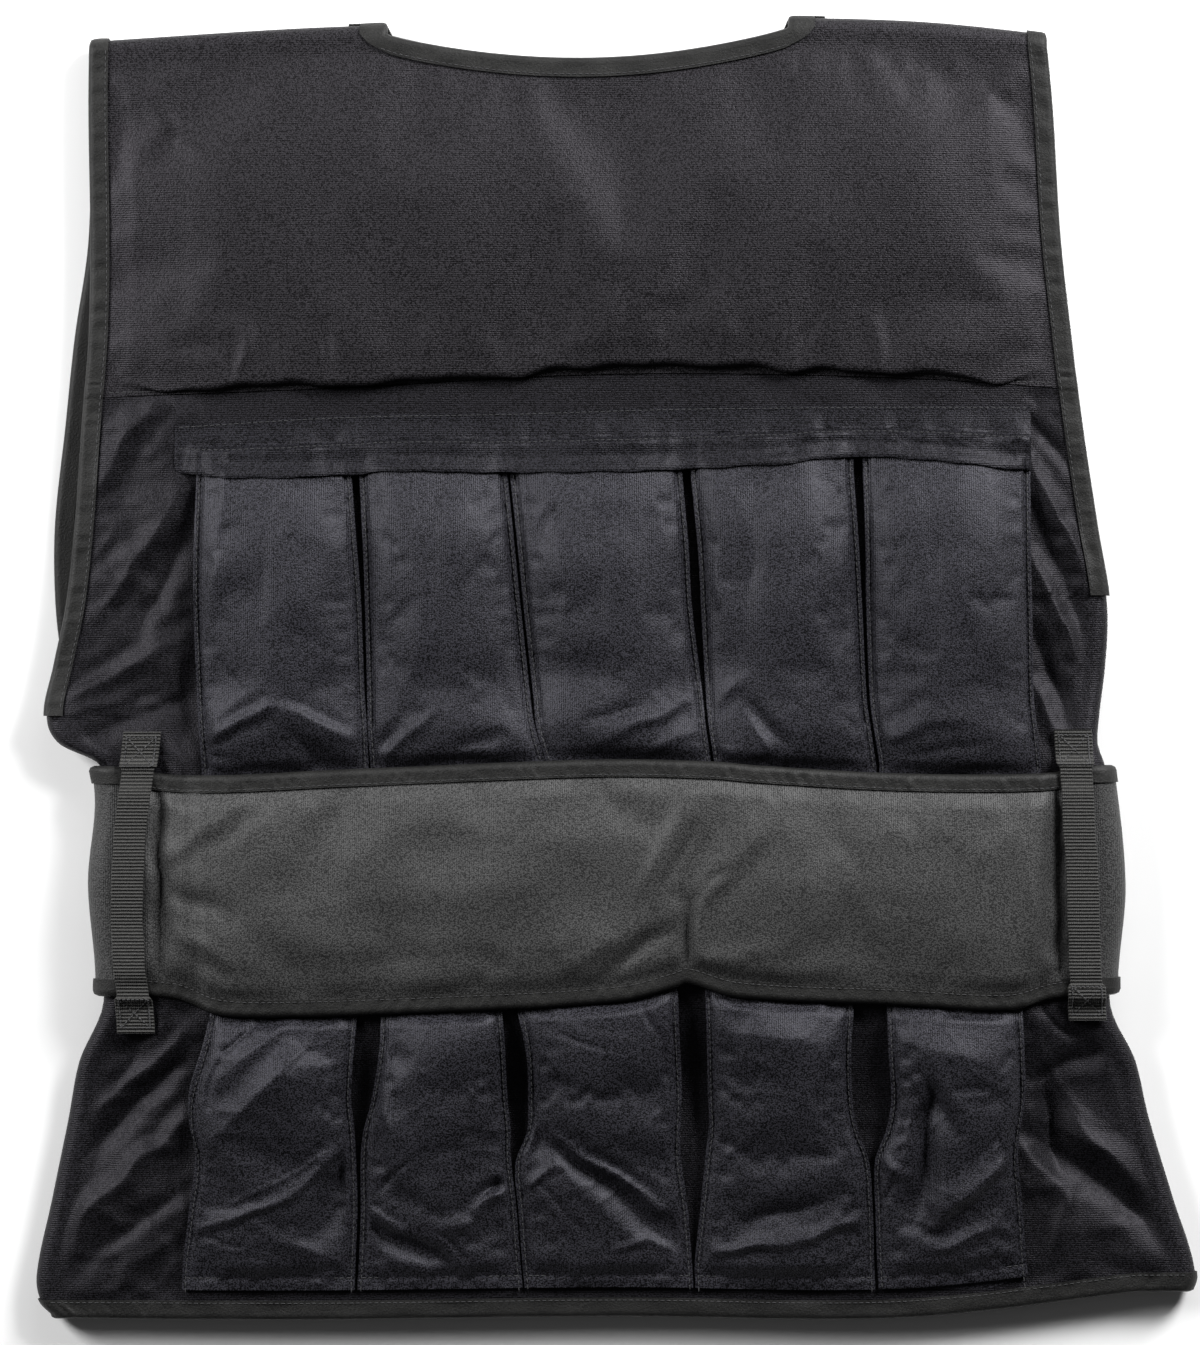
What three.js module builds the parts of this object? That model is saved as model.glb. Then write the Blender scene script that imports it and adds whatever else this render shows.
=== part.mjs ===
import * as THREE from 'three';

// A pullover weighted vest with its waist belt fastened, lying on its front with its back up.
// Millimetres. +Z is up, +Y runs from the hem to the shoulders, and the origin is on the
// table under the middle of the vest.

// The vest
const bodyLength = 655;
const hemWidth = 584;
const clothThickness = 2.4;
const yokePadding = 6;
const hollowHeight = 12;
const armholeGap = 9;
const crownRamp = 70;
const backNeckDrop = 15;
const frontNeckDrop = 90;
const neckWidth = 205;

// Tapes and the gaps between pieces
const pieceGap = 0.3;
const seamGap = 0.5;
const tapeThickness = 0.8;
const tapeWidth = 11;

// Pockets and their flap
const sideMargin = 81;
const pocketRise = 3;
const pocketThickness = 21;
const pocketWall = 9;
const tuckThickness = 3;
const flapThickness = 1.6;
const flapOverhang = 11;

// The belt and its loops
const beltThickness = 6.5;
const beltEdge = 3;
const beltTapeWidth = 9;
const beltLip = 3;
const beltOverlap = 110;
const overlapRamp = 35;
const loopWidth = 19;
const loopThickness = 1.6;

// The vest's side edges. up is a share of the body length above the hem; left, right and
// frontLeft are shares of half the hem width out from the middle.
const sideStations = [
  { name: 'hem corner', up: 0.0, left: 0.962, right: 0.955, frontLeft: 0.962 },
  { name: 'skirt foot', up: 0.033, left: 0.99, right: 1.0, frontLeft: 0.99 },
  { name: 'skirt low', up: 0.09, left: 0.966, right: 0.96, frontLeft: 0.966 },
  { name: 'skirt middle', up: 0.151, left: 0.938, right: 0.92, frontLeft: 0.938 },
  { name: 'skirt high', up: 0.196, left: 0.918, right: 0.896, frontLeft: 0.918 },
  { name: 'belt foot', up: 0.242, left: 0.872, right: 0.849, frontLeft: 0.872 },
  { name: 'belt middle', up: 0.333, left: 0.885, right: 0.862, frontLeft: 0.885 },
  { name: 'belt head', up: 0.4225, left: 0.88, right: 0.842, frontLeft: 0.88 },
  { name: 'flop low', up: 0.44, left: 0.952, right: 0.83, frontLeft: 0.915 },
  { name: 'flop tip', up: 0.461, left: 0.973, right: 0.834, frontLeft: 0.93 },
  { name: 'flop high', up: 0.5, left: 0.955, right: 0.846, frontLeft: 0.945 },
  { name: 'underarm', up: 0.546, left: 0.936, right: 0.849, frontLeft: 0.957 },
  { name: 'armhole low', up: 0.607, left: 0.921, right: 0.827, frontLeft: 0.958 },
  { name: 'armhole middle', up: 0.683, left: 0.909, right: 0.801, frontLeft: 0.94 },
  { name: 'armhole bend', up: 0.751, left: 0.897, right: 0.782, frontLeft: 0.924 },
  { name: 'armhole high', up: 0.827, left: 0.894, right: 0.763, frontLeft: 0.9 },
  { name: 'shoulder low', up: 0.926, left: 0.897, right: 0.749, frontLeft: 0.897 },
  { name: 'shoulder', up: 1.0, left: 0.895, right: 0.732, frontLeft: 0.895 },
];

// The lines across the vest, as shares of the body length above the hem at five places
// across the hem width.
const levelPlaces = [0.05, 0.25, 0.5, 0.75, 0.95];
const levels = {
  hem: { shares: [0.003, 0.0025, 0.005, 0.004, 0.024] },
  beltFoot: { shares: [0.249, 0.236, 0.246, 0.242, 0.25] },
  beltHead: { shares: [0.4167, 0.412, 0.4205, 0.412, 0.4167] },
  flapFoot: { shares: [0.637, 0.641, 0.644, 0.651, 0.646] },
  flapHead: { shares: [0.679, 0.685, 0.69, 0.693, 0.695] },
  yokeFoot: { shares: [0.704, 0.711, 0.722, 0.719, 0.707] },
  shoulder: { shares: [0.978, 0.989, 0.995, 0.994, 0.975] },
};
const neckMiddle = -0.022; // share of the hem width from the middle

// The seams between the pockets: how far each one sways sideways, and how wide it opens,
// at the hem, the belt's foot, the belt's head and the flap, as shares of the pocket pitch.
const seamLevels = ['hem', 'beltFoot', 'beltHead', 'flapFoot'];
const seams = [
  { name: 'left end', sway: [0.0, 0.14, 0.07, 0.04], opening: [0, 0, 0, 0] },
  { name: 'seam 1', sway: [0.015, 0.1, 0.085, 0.035], opening: [0.024, 0.16, 0.03, 0.06] },
  { name: 'seam 2', sway: [0.04, -0.06, 0.135, -0.045], opening: [0.02, 0.12, 0.03, 0.03] },
  { name: 'seam 3', sway: [0.03, 0.0, 0.115, 0.0], opening: [0.04, 0.19, 0.03, 0.077] },
  { name: 'seam 4', sway: [0.045, 0.05, 0.05, 0.02], opening: [0.024, 0.12, 0.036, 0.09] },
  { name: 'right end', sway: [0.0, -0.02, 0.03, -0.02], opening: [0, 0, 0, 0] },
];

// How full a pocket is along its length, from its foot (0) to its top (1).
const fillAlong = [0, 0.15, 0.4, 0.75, 1];
const fills = {
  upper: [0.3, 0.66, 0.97, 0.97, 0.5],
  lower: [0.2, 0.26, 0.5, 0.86, 0.34],
};
const pockets = [
  { name: 'pocket_upper_1', bank: 'upper', seam: 0, fullness: 0.95 },
  { name: 'pocket_upper_2', bank: 'upper', seam: 1, fullness: 1.0 },
  { name: 'pocket_upper_3', bank: 'upper', seam: 2, fullness: 0.92 },
  { name: 'pocket_upper_4', bank: 'upper', seam: 3, fullness: 1.0 },
  { name: 'pocket_upper_5', bank: 'upper', seam: 4, fullness: 0.96 },
  { name: 'pocket_lower_1', bank: 'lower', seam: 0, fullness: 0.95 },
  { name: 'pocket_lower_2', bank: 'lower', seam: 1, fullness: 1.0 },
  { name: 'pocket_lower_3', bank: 'lower', seam: 2, fullness: 1.0 },
  { name: 'pocket_lower_4', bank: 'lower', seam: 3, fullness: 1.05 },
  { name: 'pocket_lower_5', bank: 'lower', seam: 4, fullness: 1.0 },
];

// The main folds and dents. from and to are [share of half the hem width, share of the body
// length above the hem]; reach is a share of the hem width, and rise a share of the full
// pocket's thickness, below zero for a dent.
const folds = [
  { name: 'left yoke roll', on: 'back', from: [-0.85, 0.92], to: [-0.8, 0.76], reach: 0.03, rise: 0.14 },
  { name: 'left margin roll', on: 'back', from: [-0.77, 0.665], to: [-0.83, 0.53], reach: 0.035, rise: 0.26 },
  { name: 'left margin dent', on: 'back', from: [-0.76, 0.575], to: [-0.77, 0.48], reach: 0.03, rise: -0.18 },
  { name: 'left flop dent', on: 'back', from: [-0.94, 0.476], to: [-0.84, 0.48], reach: 0.03, rise: -0.2 },
  { name: 'left flop roll', on: 'back', from: [-0.93, 0.44], to: [-0.86, 0.435], reach: 0.025, rise: 0.16 },
  { name: 'right margin roll', on: 'back', from: [0.73, 0.645], to: [0.83, 0.555], reach: 0.03, rise: 0.2 },
  { name: 'right margin dent', on: 'back', from: [0.73, 0.575], to: [0.8, 0.49], reach: 0.03, rise: -0.16 },
  { name: 'left skirt roll', on: 'back', from: [-0.94, 0.06], to: [-0.73, 0.155], reach: 0.04, rise: 0.24 },
  { name: 'left skirt dent', on: 'back', from: [-0.88, 0.1], to: [-0.75, 0.18], reach: 0.03, rise: -0.16 },
  { name: 'right skirt roll', on: 'back', from: [0.74, 0.135], to: [0.93, 0.055], reach: 0.04, rise: 0.24 },
  { name: 'right skirt dent', on: 'back', from: [0.78, 0.18], to: [0.85, 0.11], reach: 0.035, rise: -0.16 },
  { name: 'upper 1 slump', on: 'pocket', from: [-0.7, 0.44], to: [-0.47, 0.455], reach: 0.04, rise: -0.24 },
  { name: 'lower 1 dent', on: 'pocket', from: [-0.72, 0.08], to: [-0.5, 0.12], reach: 0.04, rise: -0.16 },
  { name: 'lower 2 dent', on: 'pocket', from: [-0.41, 0.08], to: [-0.25, 0.06], reach: 0.035, rise: -0.14 },
  { name: 'lower 3 dent', on: 'pocket', from: [-0.1, 0.11], to: [0.1, 0.05], reach: 0.04, rise: -0.18 },
  { name: 'lower 5 dent', on: 'pocket', from: [0.54, 0.16], to: [0.52, 0.06], reach: 0.035, rise: -0.32 },
  { name: 'belt pinch', on: 'belt', from: [0.124, 0.25], to: [0.13, 0.325], reach: 0.028, rise: -0.2 },
  { name: 'belt left fold', on: 'belt', from: [-0.772, 0.4], to: [-0.775, 0.27], reach: 0.026, rise: -0.16 },
  { name: 'belt right fold', on: 'belt', from: [0.75, 0.4], to: [0.745, 0.27], reach: 0.026, rise: -0.16 },
];

// The webbing loops: the line that each one follows, from its upper patch to its lower one.
const loopPatch = 20;
const loops = [
  { name: 'belt_loop_left', head: [-0.808, 0.449], middle: [-0.828, 0.333], foot: [-0.816, 0.217] },
  { name: 'belt_loop_right', head: [0.786, 0.451], middle: [0.8, 0.333], foot: [0.81, 0.227] },
];

const finishes = {
  nylon: new THREE.MeshStandardMaterial({ color: 0x25262b, roughness: 0.62, metalness: 0 }),
  beltNylon: new THREE.MeshStandardMaterial({ color: 0x3a3a3a, roughness: 0.72, metalness: 0 }),
  tape: new THREE.MeshStandardMaterial({ color: 0x26251f, roughness: 0.85, metalness: 0 }),
  webbing: new THREE.MeshStandardMaterial({ color: 0x2c2b28, roughness: 0.8, metalness: 0 }),
};

// How finely the cloth is divided
const pocketCells = 3;
const skirtCells = 5;
const waistCells = 3;
const chestCells = 5;
const yokeCells = 4;
const neckCells = 6;

const halfWidth = hemWidth / 2;
const tapeRoom = tapeThickness + pieceGap;
const beltClearance = tapeRoom + pieceGap;
const beltLayer = beltEdge + 2 * tapeRoom + pieceGap;
const tuckRoom = tuckThickness + pieceGap;
const pocketCount = seams.length - 1;
const pocketPitch = (hemWidth - 2 * sideMargin) / pocketCount;

const mix = (a, b, t) => a + (b - a) * t;
const clamp = (t) => Math.min(1, Math.max(0, t));
const smooth = (t) => clamp(t) ** 2 * (3 - 2 * clamp(t));

// A smooth curve through a short table of places and values, level beyond its two ends.
function curveThrough(places, values) {
  const slope = (k) => {
    const a = Math.max(0, k - 1);
    const b = Math.min(places.length - 1, k + 1);
    return (values[b] - values[a]) / (places[b] - places[a]);
  };
  return (at) => {
    if (at <= places[0]) return values[0];
    const k = places.findIndex((p) => at < p) - 1;
    if (k < 0) return values[values.length - 1];
    const span = places[k + 1] - places[k];
    const t = (at - places[k]) / span;
    const [h00, h01] = [1 - t * t * (3 - 2 * t), t * t * (3 - 2 * t)];
    const [h10, h11] = [t * (1 - t) ** 2, t * t * (t - 1)];
    return h00 * values[k] + h01 * values[k + 1] + span * (h10 * slope(k) + h11 * slope(k + 1));
  };
}

const sideCurve = (column) =>
  curveThrough(sideStations.map((s) => s.up), sideStations.map((s) => s[column]));
const outline = { left: sideCurve('left'), right: sideCurve('right'), frontLeft: sideCurve('frontLeft') };

// A row of the cloth: a line across the vest whose height changes with x.
const levelRow = (name) => {
  const curve = curveThrough(levelPlaces, levels[name].shares);
  return { name, y: (x) => (curve(x / hemWidth + 0.5) - 0.5) * bodyLength, lift: 0 };
};
const shifted = (row, by, changes = {}) => ({ ...row, y: (x) => row.y(x) + by, ...changes });
const between = (low, high, cells) =>
  Array.from({ length: cells - 1 }, (_, k) => {
    const t = (k + 1) / cells;
    return { name: `${low.name} to ${high.name}`, y: (x) => mix(low.y(x), high.y(x), t), lift: 0 };
  });
const upShare = (row, x) => row.y(x) / bodyLength + 0.5;

const hem = levelRow('hem');
const hemLine = shifted(hem, tapeWidth);
const pocketFoot = shifted(hemLine, pocketRise);
const beltFoot = { ...levelRow('beltFoot'), lift: 1 };
const beltHead = { ...levelRow('beltHead'), lift: 1 };
const beltFootLine = shifted(beltFoot, beltTapeWidth);
const beltHeadLine = shifted(beltHead, -beltTapeWidth);
const beltFootLip = shifted(beltFoot, -beltLip);
const beltHeadLip = shifted(beltHead, beltLip);
const flapFoot = levelRow('flapFoot');
const flapHead = levelRow('flapHead');
const yokeFoot = levelRow('yokeFoot');
const shoulder = levelRow('shoulder');

const skirtRows = between(pocketFoot, beltFootLip, skirtCells);
skirtRows[skirtRows.length - 1].lift = 0.35;
const waistRows = between(beltFootLine, beltHeadLine, waistCells).map((row) => ({ ...row, lift: 1 }));
const chestRows = between(beltHeadLip, flapFoot, chestCells);
chestRows[0].lift = 0.35;
const flapRows = between(flapFoot, flapHead, 2);
const beltRows = [beltFoot, beltFootLine, ...waistRows, beltHeadLine, beltHead];
const bodyRows = [
  hem, hemLine, pocketFoot, ...skirtRows, beltFootLip, ...beltRows, beltHeadLip,
  ...chestRows, flapFoot, ...flapRows, flapHead, shifted(yokeFoot, -seamGap / 2),
];
const rowOf = (row) => bodyRows.indexOf(row);
const leftUnderarm = rowOf(chestRows[0]);
const rightUnderarm = rowOf(chestRows[2]);

// The neckline hangs below the shoulder line by its drop, and each row above the yoke's foot
// bends towards it.
const neckLeft = neckMiddle * hemWidth - neckWidth / 2;
const neckRight = neckLeft + neckWidth;
const foldRadius = armholeGap / 2 + clothThickness;
function topRows(drop) {
  const dip = (x) => {
    const t = (x - (neckLeft + neckRight) / 2) / (neckWidth / 2);
    return Math.abs(t) < 1 ? drop * Math.cos((Math.PI / 2) * t) ** 0.8 : 0;
  };
  const top = { name: 'top', y: (x) => shoulder.y(x) - foldRadius - dip(x), lift: 0 };
  const topLine = shifted(top, -tapeWidth);
  const foot = shifted(yokeFoot, seamGap / 2);
  return [foot, shifted(foot, tapeWidth), ...between(shifted(foot, tapeWidth), topLine, yokeCells), topLine, top];
}

// How much the folds lift the surface that they are on, at a place.
function foldRise(on, x, y) {
  let rise = 0;
  for (const fold of folds.filter((f) => f.on === on)) {
    const place = ([across, up]) => new THREE.Vector2(across * halfWidth, (up - 0.5) * bodyLength);
    const [a, b] = [place(fold.from), place(fold.to)];
    const run = b.clone().sub(a);
    const t = clamp(new THREE.Vector2(x, y).sub(a).dot(run) / run.lengthSq());
    const away = a.addScaledVector(run, t).distanceTo(new THREE.Vector2(x, y));
    rise += fold.rise * pocketThickness * (1 - smooth(away / (fold.reach * hemWidth)));
  }
  return rise;
}

// Where the two side edges of a row are. A folded edge leaves room for the fold's radius,
// and a bound one for its tape.
function sideEdges(row, foldedLeft, foldedRight, leftName = 'left') {
  const [nearLeft, nearRight] = [-0.9 * halfWidth, 0.85 * halfWidth];
  const left = -outline[leftName](upShare(row, nearLeft)) * halfWidth;
  const right = outline.right(upShare(row, nearRight)) * halfWidth;
  return {
    left: left + (foldedLeft ? foldRadius : tapeRoom),
    right: right - (foldedRight ? foldRadius : tapeRoom),
  };
}

// The heights. The front lies on the table, over the belt's two lapped ends, and the back
// stands over it by the hollow, which is lower along every edge.
const overlapAt = (x, ramp) => smooth((beltOverlap / 2 + ramp - Math.abs(x)) / ramp);
function backBottom(x, row, edges, top) {
  const y = row.y(x);
  const inset = Math.min(x - edges.left, edges.right - x, y - hem.y(x), top.y(x) - y);
  const hollow = mix(armholeGap, hollowHeight, smooth(inset / crownRamp));
  const lift = row.lift * beltLayer * (1 + overlapAt(x, 2 * overlapRamp));
  const calm = smooth(inset / tapeWidth - 0.5);
  return tapeRoom + clothThickness + hollow + lift + calm * foldRise('back', x, y);
}

// A sheet of cloth on a lattice: upper and lower give each vertex's two points, and has says
// which cells are there. Walls close it wherever a cell has no neighbour.
function sheet(columns, rows, upper, lower, has = () => true) {
  const points = [];
  const there = (i, j) => i >= 0 && j >= 0 && i < columns - 1 && j < rows - 1 && has(i, j);
  const quad = (a, b, c, d) => [a, b, c, a, c, d].forEach((p) => points.push(p.x, p.y, p.z));
  for (let j = 0; j < rows - 1; j++) {
    for (let i = 0; i < columns - 1; i++) {
      if (!there(i, j)) continue;
      const corners = [[i, j], [i + 1, j], [i + 1, j + 1], [i, j + 1]];
      const [a, b, c, d] = corners.map(([k, l]) => upper[k][l]);
      const [e, f, g, h] = corners.map(([k, l]) => lower[k][l]);
      quad(a, b, c, d);
      [e, g, f, e, h, g].forEach((p) => points.push(p.x, p.y, p.z));
      if (!there(i, j - 1)) quad(e, f, b, a);
      if (!there(i + 1, j)) quad(f, g, c, b);
      if (!there(i, j + 1)) quad(g, h, d, c);
      if (!there(i - 1, j)) quad(h, e, a, d);
    }
  }
  return new THREE.BufferGeometry().setAttribute('position', new THREE.Float32BufferAttribute(points, 3));
}

// The rolled edge of a shell half, as the angles round its fold, and the points of one ring.
const foldAngles = [Math.PI / 4, Math.PI / 2];
function rollPoint(centre, outward, upward, radius, angle) {
  return centre.clone()
    .addScaledVector(outward, radius * Math.sin(angle))
    .addScaledVector(upward, radius * Math.cos(angle));
}

const [leftward, rightward] = [new THREE.Vector3(-1, 0, 0), new THREE.Vector3(1, 0, 0)];
const [forward, skyward] = [new THREE.Vector3(0, 1, 0), new THREE.Vector3(0, 0, 1)];

// Adds the rolled edges round a half's flat lattice: columns at both sides, and rows at the
// top where there is one. middle(i, j) is the height of the fold's centre.
function rolled(flat, middle, facing, withTop) {
  const upward = skyward.clone().multiplyScalar(facing);
  const roll = (pair, outward, angle, centreZ) => {
    const centre = new THREE.Vector3(pair.outer.x, pair.outer.y, centreZ + (facing * pieceGap) / 2);
    const radius = (point) => Math.abs(point.z - centre.z);
    return {
      outer: rollPoint(centre, outward, upward, radius(pair.outer), angle),
      inner: rollPoint(centre, outward, upward, radius(pair.inner), angle),
    };
  };
  const last = flat.length - 1;
  const rollsOf = (i, outward) =>
    foldAngles.map((angle) => flat[i].map((pair, j) => roll(pair, outward, angle, middle(i, j))));
  const columns = [...rollsOf(0, leftward).reverse(), ...flat.map((c) => [...c]), ...rollsOf(last, rightward)];
  if (withTop) {
    columns.forEach((column, k) => {
      const i = Math.min(last, Math.max(0, k - foldAngles.length));
      const edge = column[flat[0].length - 1];
      foldAngles.forEach((angle) => column.push(roll(edge, forward, angle, middle(i, flat[0].length - 1))));
    });
  }
  return numbered(columns);
}

// Each pair knows its own column and row, so that a tape can follow the facets under it.
function numbered(columns) {
  columns.forEach((column, i) => column.forEach((pair, j) => Object.assign(pair, { i, j })));
  return columns;
}

const upperOf = (pairs, facing) => pairs.map((c) => c.map((p) => (facing > 0 ? p.outer : p.inner)));
const lowerOf = (pairs, facing) => pairs.map((c) => c.map((p) => (facing > 0 ? p.inner : p.outer)));
const pairAt = (x, y, outerZ, innerZ) => ({
  outer: new THREE.Vector3(x, y, outerZ),
  inner: new THREE.Vector3(x, y, innerZ),
});

// A tape folded round an edge: each station is the sheet's point pair at its edge and the
// pair at the tape's inner line, and at a corner also the way out of the corner.
function tapeRound(stations, closed = false) {
  const rings = stations.map(([edge, inside, cornerOut]) => {
    const normalAt = (pair) => pair.outer.clone().sub(pair.inner).normalize();
    const [atEdge, atInside] = [normalAt(edge), normalAt(inside)];
    const middleOf = (pair) => pair.outer.clone().add(pair.inner).multiplyScalar(0.5);
    const out = middleOf(edge).sub(middleOf(inside));
    out.addScaledVector(atEdge, -out.dot(atEdge)).normalize();
    if (cornerOut) out.copy(cornerOut);
    const corner = (point, normal, side, off, reach) =>
      point.clone().addScaledVector(normal, side * off).addScaledVector(out, reach);
    const face = (off, reach) => [
      corner(inside.outer, atInside, 1, off, 0),
      corner(edge.outer, atEdge, 1, off, reach),
      corner(edge.inner, atEdge, -1, off, reach),
      corner(inside.inner, atInside, -1, off, 0),
    ];
    return [...face(tapeRoom, tapeRoom), ...face(pieceGap, pieceGap).reverse()];
  });
  const edgeFirst = stations.map(([edge], k) => {
    const inside = stations[(k + 1) % stations.length][1];
    return (inside.i - edge.i) * (inside.j - edge.j) > 0;
  });
  return loft(rings, closed, edgeFirst);
}

// A solid through rings of points, closed at its two ends or joined into a loop. edgeFirst
// says, for each span, which way its facets slant.
function loft(rings, closed, edgeFirst) {
  const points = [];
  const face = (...corners) => corners.forEach((p) => points.push(p.x, p.y, p.z));
  const sides = rings[0].length;
  const spans = closed ? rings.length : rings.length - 1;
  for (let k = 0; k < spans; k++) {
    const [here, next] = [rings[k], rings[(k + 1) % rings.length]];
    for (let s = 0; s < sides; s++) {
      const t = (s + 1) % sides;
      const slanted = s % 2 === 0 && (s % 4 === 0) === edgeFirst[k];
      if (slanted) face(here[s], here[t], next[s], here[t], next[t], next[s]);
      else face(here[s], here[t], next[t], here[s], next[t], next[s]);
    }
  }
  if (!closed) {
    const cap = (ring, flip) => {
      for (let s = 0; s < sides / 2 - 1; s++) {
        const [a, b, c, d] = [ring[s], ring[s + 1], ring[sides - 2 - s], ring[sides - 1 - s]];
        if (flip) face(a, b, c, a, c, d);
        else face(a, c, b, a, d, c);
      }
    };
    cap(rings[0], false);
    cap(rings[rings.length - 1], true);
  }
  const made = new THREE.BufferGeometry().setAttribute('position', new THREE.Float32BufferAttribute(points, 3));
  return signedVolume(made) < 0 ? turnedRound(made) : made;
}

function signedVolume(geometry) {
  const at = geometry.getAttribute('position');
  const [a, b, c] = [new THREE.Vector3(), new THREE.Vector3(), new THREE.Vector3()];
  let volume = 0;
  for (let k = 0; k < at.count; k += 3) {
    a.fromBufferAttribute(at, k);
    b.fromBufferAttribute(at, k + 1);
    c.fromBufferAttribute(at, k + 2);
    volume += a.dot(b.cross(c)) / 6;
  }
  return volume;
}

function turnedRound(geometry) {
  const at = geometry.getAttribute('position').array;
  for (let k = 0; k < at.length; k += 9) {
    for (let n = 0; n < 3; n++) [at[k + 3 + n], at[k + 6 + n]] = [at[k + 6 + n], at[k + 3 + n]];
  }
  return geometry;
}

const vest = new THREE.Group();
function add(name, geometry, finish) {
  const mesh = new THREE.Mesh(geometry, finishes[finish]);
  mesh.name = name;
  vest.add(mesh);
  return mesh;
}

// The columns that the pockets stand on, from one end of the bank to the other.
function seamAt(k, row) {
  const ups = seamLevels.map((name) => upShare(levelRow(name), 0));
  const at = upShare(row, 0);
  const sway = curveThrough(ups, seams[k].sway)(at);
  const opening = curveThrough(ups, seams[k].opening)(at);
  const middle = (k - pocketCount / 2 + sway) * pocketPitch;
  return { left: middle - (opening / 2) * pocketPitch, right: middle + (opening / 2) * pocketPitch };
}
function bankColumns(row) {
  const xs = [];
  for (let k = 0; k < pocketCount; k++) {
    const [from, to] = [seamAt(k, row).right, seamAt(k + 1, row).left];
    for (let n = 0; n <= pocketCells; n++) xs.push(mix(from, to, n / pocketCells));
  }
  return xs;
}

// The back's columns: its edge, the tape's inner line, the margin, the flap's end and the bank.
const firstPocketColumn = 4;
const lastPocketColumn = firstPocketColumn + pocketCount * (pocketCells + 1) - 1;
function backColumns(row, edges) {
  const bank = bankColumns(row);
  const flapEnd = bank[0] - flapOverhang;
  const [leftLine, rightLine] = [edges.left + tapeWidth, edges.right - tapeWidth];
  const bankEnd = bank[bank.length - 1];
  return [
    edges.left, leftLine, (leftLine + flapEnd) / 2, flapEnd, ...bank,
    (bankEnd + rightLine) / 2, rightLine, edges.right,
  ];
}

// The columns of the yoke and the front: at the waist they mark the belt's overlap, and at
// the top the neck.
const neckColumn = 4;
const beyondNeck = -0.7 * halfWidth; // where no row dips towards the neck
function plainColumns(row, edges) {
  const [at, low, high] = [row, beltHeadLip, topOfBack].map((level) => upShare(level, beyondNeck));
  const rise = clamp((at - low) / (high - low));
  const left = mix(-beltOverlap / 2, neckLeft, rise);
  const right = mix(beltOverlap / 2, neckRight, rise);
  const outer = mix(overlapRamp, tapeWidth, rise);
  const inner = Array.from({ length: neckCells + 1 }, (_, n) => mix(left, right, n / neckCells));
  const [leftLine, rightLine] = [edges.left + tapeWidth, edges.right - tapeWidth];
  return [
    edges.left, leftLine, (leftLine + left - outer) / 2, left - outer, ...inner,
    right + outer, (rightLine + right + outer) / 2, rightLine, edges.right,
  ];
}

const backTop = topRows(backNeckDrop);
const frontTop = topRows(frontNeckDrop);
const topOfBack = backTop[backTop.length - 1];
const topOfFront = frontTop[frontTop.length - 1];
const bodyEdges = bodyRows.map((row, j) => sideEdges(row, j <= leftUnderarm, j <= rightUnderarm));
const yokeEdges = backTop.map((row) => sideEdges(row, false, false));

// The front's heights, and the fold's centre between the front and the back.
const edgeColumns = 2;
function frontBottom(x, row, nearEdge) {
  const resting = nearEdge ? tapeRoom : 0;
  return mix(resting, beltLayer * (1 + overlapAt(x, overlapRamp)), row.lift);
}
const foldCentre = (x, row, edges, top) =>
  (backBottom(x, row, edges, top) + clothThickness + frontBottom(x, row, true)) / 2;

// The back below the yoke
const bodyGrid = bodyRows.map((row, j) => backColumns(row, bodyEdges[j]));
const bodyFlat = bodyGrid[0].map((_, i) =>
  bodyRows.map((row, j) => {
    const x = bodyGrid[j][i];
    const bottom = backBottom(x, row, bodyEdges[j], topOfBack);
    return pairAt(x, row.y(x), bottom + clothThickness, bottom);
  }),
);
const bodyMiddle = (i, j) => foldCentre(bodyGrid[j][i], bodyRows[j], bodyEdges[j], topOfBack);
const body = rolled(bodyFlat, bodyMiddle, 1, false);
const rollColumns = foldAngles.length;
const sideRollHas = (columns, leftRow, rightRow) => (i, j) =>
  (i >= rollColumns || j < leftRow) && (i < columns - 1 - rollColumns || j < rightRow);
add('back_panel', sheet(body.length, bodyRows.length, upperOf(body, 1), lowerOf(body, 1),
  sideRollHas(body.length, leftUnderarm, rightUnderarm)), 'nylon');

// The yoke: padded in its middle and thin where the tapes hold it
const yokeGrid = backTop.map((row, j) => plainColumns(row, yokeEdges[j]));
const yokeFlat = yokeGrid[0].map((_, i) =>
  backTop.map((row, j) => {
    const x = yokeGrid[j][i];
    const edges = yokeEdges[j];
    const bottom = backBottom(x, row, edges, topOfBack);
    const inset = Math.min(x - edges.left, edges.right - x, topOfBack.y(x) - row.y(x)) - tapeWidth;
    const seamShare = j === 0 ? 0.6 : 1;
    const padding = yokePadding * smooth(inset / (2 * tapeWidth)) * seamShare;
    return pairAt(x, row.y(x), bottom + clothThickness + padding, bottom);
  }),
);
const yokeMiddle = (i, j) => foldCentre(yokeGrid[j][i], backTop[j], yokeEdges[j], topOfBack);
const yoke = rolled(yokeFlat, yokeMiddle, 1, true);
const neckFrom = neckColumn + rollColumns;
const neckTo = neckFrom + neckCells;
const lastTop = backTop.length - 1;
const yokeHas = (i, j) =>
  i >= rollColumns && i < yoke.length - 1 - rollColumns && (j < lastTop || i < neckFrom || i >= neckTo);
add('yoke', sheet(yoke.length, yoke[0].length, upperOf(yoke, 1), lowerOf(yoke, 1), yokeHas), 'nylon');

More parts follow.
